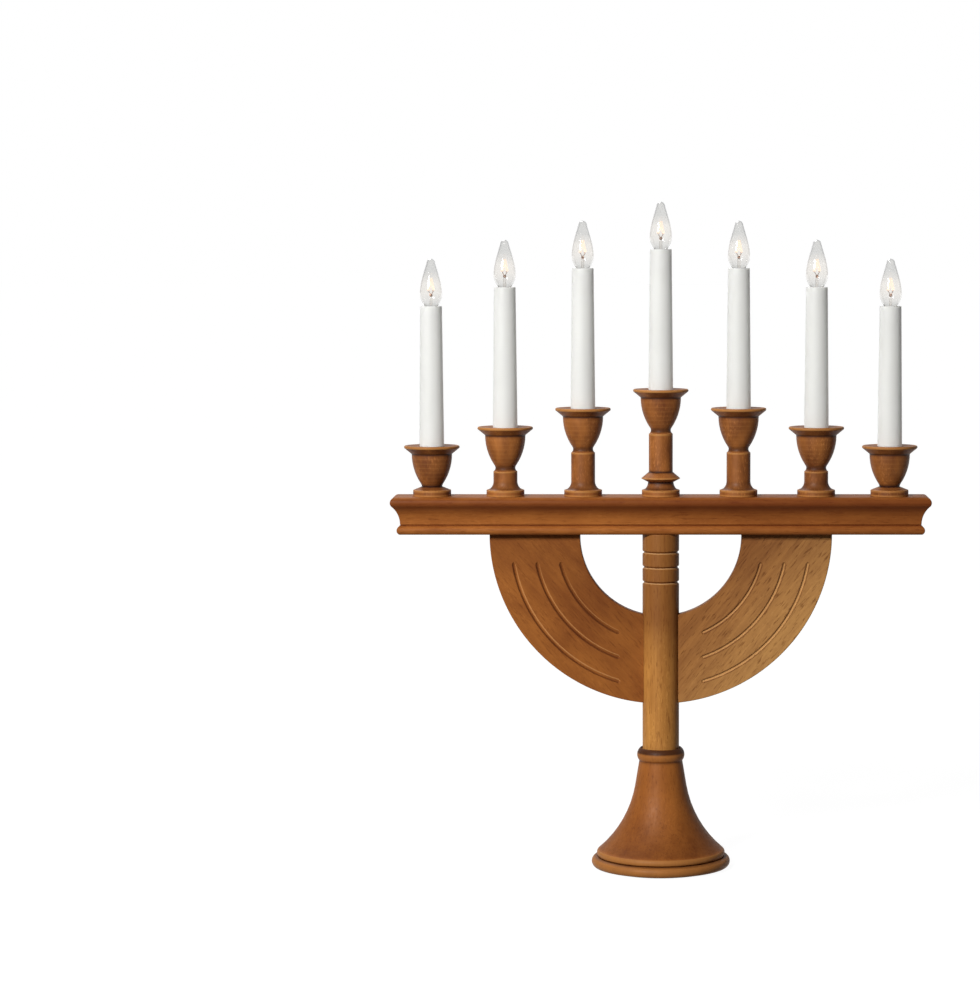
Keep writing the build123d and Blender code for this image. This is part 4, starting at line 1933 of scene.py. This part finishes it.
@dataclass
class Lamp:
    """Screw-in lamp: flame-shaped glass, threaded cap, glass stem with its bead, and the glowing filament."""

    lathe: Lathe
    glass: Material
    brass: Material
    bead: Material
    metal: Material
    place: CandlePlace
    segments: int = 64
    glass_height: float = 35.0
    girth_height: float = 9.0
    girth_radius: float = 8.25
    tip_radius: float = 2.9
    tip_height: float = 1.9
    tip_slope: float = 0.27
    wall: float = 0.6
    neck_radius: float = 4.25
    neck_start: float = 0.5
    neck_length: float = 5.5
    neck_steps: int = 3
    flame_steps: int = 24
    # Heights between which the glass carries its painted glow, and how far the glow fades.
    glow_low: float = 10.0
    glow_high: float = 17.0
    glow_reach: float = 9.0
    cap_radius: float = 4.7
    cap_top: float = 1.4
    cap_length: float = 8.0
    cap_taper: float = 1.8
    cap_end_radius: float = 3.0
    cap_gap: float = 0.05
    neck_gap: float = 0.1
    contact_radius: float = 1.6
    contact_length: float = 1.2
    thread_pitch: float = 1.814
    thread_depth: float = 0.36
    thread_steps: int = 64
    stem_radius: float = 1.1
    stem_segments: int = 32
    stem_steps: int = 4
    flare_steps: int = 8
    bead_radius: float = 1.2
    bead_height: float = 8.0
    lead_spread: float = 2.0
    lead_height: float = 11.5
    lead_radius: float = 0.25
    lead_points: int = 12
    wire_sides: int = 6
    peak_height: float = 20.5
    coil_radius: float = 0.95
    coil_wire: float = 0.26
    coil_turns: float = 30.0
    coil_points: int = 420

    def at_rim(self, mesh: Mesh) -> Mesh:
        """Moves a mesh from the Z axis to the rim of its candle and returns it."""
        mesh.transform(Matrix.Translation((self.place.x * MM, 0.0, self.place.tube_rim * MM)))
        return mesh

    def fit(self, name: str, mesh: Mesh, slot: Slot, *nodes: str) -> None:
        """Ties a mesh to the lamp's body.

        Args:
            name: Name of the piece, without the lamp's number.
            mesh: Its finished mesh.
            slot: Material slot of its finish.
            nodes: Solids that it replaces, without the lamp's number.
        """
        number = self.place.number
        settle(f"{name}_{number}", mesh, f"lamp_{number}", slot, *(f"{node}_{number}" for node in nodes))

    def glass_side(self, inset: float) -> Outline:
        """Draws one face of the glass from its neck up to its tip.

        Args:
            inset: Distance in from the outer face.

        Returns:
            The outline.
        """
        neck = self.neck_radius - inset
        girth = (self.girth_radius - inset, self.girth_height)
        shoulder = (self.tip_radius - inset, self.glass_height - self.tip_height - inset)
        line = Outline((neck, -self.neck_start - self.neck_length))
        line.run((neck, -self.neck_start), self.neck_steps)
        line.arriving((0.0, 1.0), girth)
        line.flowing((0.0, 1.0), (-self.tip_slope, 1.0), shoulder, self.flame_steps)
        return line.arriving((-1.0, 0.0), (0.0, self.glass_height - inset))

    def build_glass(self) -> None:
        """Makes the glass."""
        inner = self.glass_side(self.wall)
        outline = Outline(*self.glass_side(0.0).points, *reversed(inner.points))
        level = Outline(
            (self.glow_low - self.glow_reach, 1.0),
            (self.glow_low, 0.0),
            (self.glow_high, 0.0),
            (self.glow_high + self.glow_reach, 1.0),
        )
        mesh = self.lathe.turn(outline, self.glass, self.segments, closed=True, level=level)
        self.fit("flame_glass", clean(self.at_rim(mesh)), Slot.GLASS, "lamp_glass")

    def build_cap(self) -> None:
        """Makes the threaded cap."""
        low = -self.cap_top - self.cap_length
        end = low - self.cap_taper
        pocket = -self.neck_start - self.neck_length - self.neck_gap
        bore = self.neck_radius + self.cap_gap
        outline = Outline((0.0, end - self.contact_length))
        outline.to((self.contact_radius, end - self.contact_length), (self.contact_radius, end))
        outline.to((self.cap_end_radius, end), (self.cap_radius, low))
        outline.run((self.cap_radius, -self.cap_top), self.thread_steps)
        outline.to((bore, -self.cap_top), (bore, pocket), (0.0, pocket))
        blank = self.lathe.turn(outline, self.brass, self.segments)
        values = {
            "Pitch": self.thread_pitch * MM,
            "Depth": self.thread_depth * MM,
            "Wall Radius": (self.cap_radius + bore) / 2 * MM,
            "Low": low * MM,
            "High": -self.cap_top * MM,
            "Material": self.brass,
        }
        mesh = grow(clean(blank), self.lathe.trees.thread, values)
        self.fit("threaded_cap", clean(self.at_rim(mesh)), Slot.BRASS, "lamp_cap")

    def build_stem(self) -> None:
        """Makes the glass stem and its bead."""
        low = -self.neck_start - self.neck_length
        flare = self.neck_radius - self.wall - self.neck_gap
        outline = Outline((0.0, low), (flare, low))
        outline.flowing((-1.0, 1.0), (0.0, 1.0), (self.stem_radius, low + flare), self.flare_steps)
        bottom = self.bead_height - self.bead_radius
        outline.run((self.stem_radius, bottom), self.stem_steps)
        mesh = self.lathe.turn(outline.to((0.0, bottom)), self.glass, self.stem_segments)
        self.fit("lamp_stem", clean(self.at_rim(mesh)), Slot.GLASS)
        outline = Outline((0.0, bottom))
        outline.through((self.bead_radius, self.bead_height), (0.0, self.bead_height + self.bead_radius))
        mesh = self.lathe.turn(outline, self.bead, self.stem_segments)
        self.fit("lamp_bead", clean(self.at_rim(mesh)), Slot.FILAMENT)

    def build_filament(self) -> None:
        """Makes the lead wires and the coiled filament."""
        elbow = (self.lead_spread, 0.0, self.lead_height)
        far_elbow = (-self.lead_spread, 0.0, self.lead_height)
        peak = (0.0, 0.0, self.peak_height)
        foot = (0.0, 0.0, self.bead_height)
        coil = {
            "Turns": self.coil_turns,
            "Coil Radius": self.coil_radius * MM,
            "Wire Radius": self.coil_wire * MM,
            "Points": self.coil_points,
            "Sides": self.wire_sides,
            "Material": self.metal,
        }
        straight = {
            **coil,
            "Turns": 0.0,
            "Coil Radius": 0.0,
            "Wire Radius": self.lead_radius * MM,
            "Points": self.lead_points,
        }
        runs = (
            ((elbow, peak, far_elbow), coil),
            ((foot, elbow), straight),
            ((foot, far_elbow), straight),
        )
        joined = bmesh.new()
        for points, values in runs:
            mesh = grow(wire_mesh("path", points, False), self.lathe.trees.coil, values)
            joined.from_mesh(mesh)
            bpy.data.meshes.remove(mesh)
        mesh = bpy.data.meshes.new("filament")
        joined.to_mesh(mesh)
        joined.free()
        mesh.materials.append(self.metal)
        clean(mesh)
        add_values(mesh, "glowing", [float(corner.co.z > self.lead_height * MM) for corner in mesh.vertices])
        self.fit("coiled_filament", self.at_rim(mesh), Slot.FILAMENT, "lamp_filament")

    def build(self) -> None:
        """Makes every piece of the lamp."""
        self.build_glass()
        self.build_cap()
        self.build_stem()
        self.build_filament()


@dataclass
class InnerWorks:
    """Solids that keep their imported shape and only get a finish."""

    finishes: dict[str, Material]

    def dress(self) -> None:
        """Gives every shown solid its finish, by the start of its name."""
        for name, solid in sorted(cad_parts.items()):
            if solid.hide_render:
                continue
            finish = next(material for start, material in self.finishes.items() if name.startswith(start))
            solid.data.materials.clear()
            solid.data.materials.append(finish)
            LOG.info("%s keeps its solid and wears %s", name, finish.name)


@dataclass(frozen=True)
class SoftBox:
    """Square studio lamp, placed and aimed in metres."""

    name: str
    place: Triple
    aim: Triple
    size: float
    power: float

    def build(self) -> None:
        """Makes the lamp."""
        light = bpy.data.lights.new(self.name, "AREA")
        light.shape = "SQUARE"
        light.size = self.size
        light.energy = self.power
        lamp = bpy.data.objects.new(self.name, light)
        lamp.location = self.place
        lamp.rotation_euler = (Vector(self.aim) - Vector(self.place)).to_track_quat("-Z", "Y").to_euler()
        bpy.context.scene.collection.objects.link(lamp)


@dataclass
class Studio:
    """Pale floor, white surroundings, soft light and the camera."""

    key: SoftBox = SoftBox("key", (-0.97, -1.74, 1.2), (0.0, 0.0, 0.3), 0.55, 55.0)
    back: SoftBox = SoftBox("back", (-0.7, 1.4, 1.9), (0.0, 0.0, 0.3), 0.8, 14.0)
    floor_reach: float = 30.0
    floor_colour: Colour = (0.14, 0.14, 0.14, 1.0)
    floor_white: float = 0.96
    near_floor: float = 0.5
    far_floor: float = 1.6
    ambient: float = 0.01
    room_tone: float = 0.55
    room_end: float = 0.8
    backdrop_start: float = 0.96
    camera_place: Triple = (0.0, -2.3, 0.4697)
    focal_pixels: float = 3100.2
    image_side: int = 981
    sensor: float = 36.0
    pitch: float = 4.63
    side_shift: float = 170.8

    def build_world(self) -> None:
        """Makes surroundings with a white backdrop and a darker room, soft as a light."""
        world = bpy.data.worlds.new("studio")
        world.use_nodes = True
        bpy.context.scene.world = world
        graph = Graph(world.node_tree)
        world.node_tree.nodes.clear()
        seen = self.seen(graph)
        heading = graph.node("ShaderNodeTexCoord").outputs["Generated"]
        back = graph.node("ShaderNodeSeparateXYZ", {0: heading}).outputs["Y"]
        tone = graph.span(back, self.room_end, self.backdrop_start, self.room_tone)
        glossy = graph.node("ShaderNodeLightPath").outputs["Is Glossy Ray"]
        tone = graph.blend(glossy, WHITE, tone)
        white = graph.node("ShaderNodeBackground", {"Color": tone, "Strength": 1.0}).outputs[0]
        soft = graph.node("ShaderNodeBackground", {"Color": WHITE, "Strength": self.ambient}).outputs[0]
        both = graph.node("ShaderNodeMixShader", {0: seen, 1: soft, 2: white}).outputs[0]
        graph.node("ShaderNodeOutputWorld", {"Surface": both})

    @staticmethod
    def seen(graph: Graph) -> NodeSocket:
        """Finds the rays that show the surroundings: to the eye, in a gloss or through glass.

        Args:
            graph: Graph of a material or the world.

        Returns:
            1 for such a ray and 0 for any other.
        """
        path = graph.node("ShaderNodeLightPath")
        mirrored = graph.math("MAXIMUM", path.outputs["Is Camera Ray"], path.outputs["Is Glossy Ray"])
        return graph.math("MAXIMUM", mirrored, path.outputs["Is Transmission Ray"])

    def build_floor(self) -> None:
        """Makes the floor, white to the eye but for the stand's shadow."""
        reach = self.floor_reach
        mesh = bpy.data.meshes.new("floor")
        corners = [(x * reach, y * reach, 0.0) for x, y in ((-1, -1), (1, -1), (1, 1), (-1, 1))]
        mesh.from_pydata(corners, [], [(0, 1, 2, 3)])
        material = bpy.data.materials.new("pale_floor")
        material.use_nodes = True
        graph = Graph(material.node_tree)
        material.node_tree.nodes.clear()
        plain = graph.node("ShaderNodeBsdfDiffuse", {"Color": self.floor_colour}).outputs[0]
        away = graph.vector("LENGTH", graph.place()).outputs["Value"]
        glow = graph.span(away, self.near_floor, self.far_floor, self.floor_white)
        white = graph.node("ShaderNodeEmission", {"Color": WHITE, "Strength": glow}).outputs[0]
        lit = graph.node("ShaderNodeAddShader", {0: plain, 1: white}).outputs[0]
        both = graph.node("ShaderNodeMixShader", {0: self.seen(graph), 1: plain, 2: lit}).outputs[0]
        graph.node("ShaderNodeOutputMaterial", {"Surface": both})
        mesh.materials.append(material)
        put_in_scene("floor", mesh)

    def build_camera(self) -> None:
        """Makes the camera."""
        data = bpy.data.cameras.new("camera")
        data.sensor_width = self.sensor
        data.lens = self.focal_pixels * self.sensor / self.image_side
        data.shift_x = -self.side_shift / self.image_side
        data.clip_end = 2 * self.floor_reach
        camera = bpy.data.objects.new("camera", data)
        camera.location = self.camera_place
        camera.rotation_euler = (math.radians(90 - self.pitch), 0.0, 0.0)
        bpy.context.scene.collection.objects.link(camera)
        bpy.context.scene.camera = camera

    def build(self) -> None:
        """Makes the studio."""
        self.build_world()
        self.build_floor()
        self.key.build()
        self.back.build()
        self.build_camera()
        bpy.context.scene.view_settings.view_transform = "Standard"


def wood_finishes(groups: ShaderGroups) -> dict[str, Material]:
    """Makes one wood a piece, each with its own run of the grain.

    Args:
        groups: Shared node groups.

    Returns:
        The materials by piece.
    """
    finishes = {
        "foot": WoodFinish(
            "foot_wood",
            (0, 0, 20),
            (70, 40, 0),
            tint(166, 100, 44),
            tint(120, 64, 24),
            grime=0.6,
            dusk=0.92,
            rub=0.8,
            sheen_level=0.14,
        ),
        "column": WoodFinish(
            "column_wood",
            (0, 0, -15),
            (-60, 55, 300),
            tint(203, 142, 70),
            tint(156, 100, 46),
            gathered=tint(88, 34, 11),
            # The column's pale colour is also the painted highlight on its grooves' lower walls.
            rubbed=tint(238, 192, 134),
            figure=0.3,
            grime=0.7,
            rub=1.0,
            dusk=0.58,
            sheen_level=0.14,
        ),
        "rail": WoodFinish(
            "rail_wood",
            (0, -90, 0),
            (330, 45, 100),
            tint(177, 109, 50),
            tint(123, 66, 27),
            gathered=tint(88, 30, 11),
            grime=0.62,
            rub=0.0,
            dusk=0.3,
            sheen_level=0.08,
        ),
        "panel_left": WoodFinish(
            "left_panel_wood",
            (0, 42, 0),
            (-90, 60, 400),
            tint(168, 103, 45),
            tint(119, 64, 25),
            gathered=tint(66, 24, 8),
            rubbed=tint(206, 144, 86),
            grime=0.6,
            rub=0.8,
            dusk=0.3,
        ),
        "panel_right": WoodFinish(
            "right_panel_wood",
            (0, -38.4, 0),
            (-120, 20, 700),
            tint(168, 108, 55),
            tint(130, 78, 38),
            gathered=tint(66, 24, 8),
            rubbed=tint(206, 154, 96),
            figure=0.4,
            flecks=0.1,
            grime=0.6,
            rub=0.8,
            dusk=0.3,
            second=SecondBoard((12.9, 129.1), 38.4, (60, 30, 210), tint(200, 149, 87), tint(160, 112, 64)),
        ),
        "cup": WoodFinish(
            "cup_wood",
            (0, 0, 0),
            (31, 47, 700),
            tint(164, 101, 48),
            tint(106, 57, 25),
            figure=0.08,
            blotch=2.0,
            flecks=0.6,
            grime=1.0,
            rub=0.8,
            dusk=0.28,
            sheen_level=0.18,
        ),
    }
    return {piece: finish.material(groups) for piece, finish in finishes.items()}


def plain_finishes(groups: ShaderGroups) -> dict[str, Material]:
    """Makes the finishes of all that isn't wood.

    Args:
        groups: Shared node groups.

    Returns:
        The materials by what they are.
    """
    finishes = {
        "candle": MottledFinish(
            "candle_plastic",
            tint(209, 209, 206),
            tint(206, 206, 203),
            scale=40,
            smooth=0.4,
            rough=0.5,
            depth_of_light=3.0,
            painted_glow=0.25,
            sheen_level=0.25,
        ),
        "holder": MottledFinish("holder_plastic", tint(226, 224, 215), tint(218, 216, 206), 90, 0.4, 0.5),
        "brass": MottledFinish("cap_brass", tint(214, 178, 104), tint(196, 156, 84), 160, 0.22, 0.38, 1.0),
        "steel": MottledFinish("screw_steel", tint(168, 168, 166), tint(142, 142, 142), 200, 0.28, 0.45, 1.0),
        "felt": MottledFinish(
            "foot_felt",
            tint(62, 70, 58),
            tint(46, 53, 44),
            scale=300,
            smooth=0.9,
            rough=1.0,
            bump_depth=0.4,
            bump_strength=0.7,
            fuzz=0.5,
        ),
        "wire": MottledFinish("wire_insulation", tint(232, 230, 222), tint(222, 220, 210), 120, 0.45, 0.55),
        "bead": MottledFinish("bead_glass", tint(168, 130, 108), tint(140, 102, 82), 400, 0.1, 0.2),
    }
    made = {stuff: finish.material(groups) for stuff, finish in finishes.items()}
    made["glass"] = GlassFinish("lamp_glass").material()
    made["filament"] = FilamentFinish("filament_metal").material()
    return made


def main() -> None:
    """Builds the stand, the studio and the camera."""
    logging.basicConfig(level=logging.INFO, format="%(message)s")
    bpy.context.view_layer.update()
    groups = ShaderGroups()
    lathe = Lathe(ShapeTrees())
    wood = wood_finishes(groups)
    plain = plain_finishes(groups)
    Foot(lathe, wood["foot"]).build()
    Column(lathe, wood["column"]).build()
    Rail(lathe, wood["rail"]).build()
    for side in Side:
        FlutedPanel(wood[f"panel_{side.name.lower()}"], side, PANEL_SHADINGS[side]).build()
    places = CandlePlace.all()
    for place, stain in zip(places, CUP_DARKENING):
        middle = place.number == len(places) // 2 + 1
        Cup(lathe, wood["cup"], place, middle, stain).build()
        CandleTube(lathe, plain["candle"], place).build()
        Lamp(lathe, plain["glass"], plain["brass"], plain["bead"], plain["filament"], place).build()
    InnerWorks({
        "foot_felt": plain["felt"],
        "foot_screw": plain["steel"],
        "channel_covers": wood["rail"],
        "lamp_holder": plain["holder"],
        "contact_plunger": plain["brass"],
        "side_contacts": plain["brass"],
        "wiring": plain["wire"],
    }).dress()
    Studio().build()


if __name__ == "__main__":
    main()
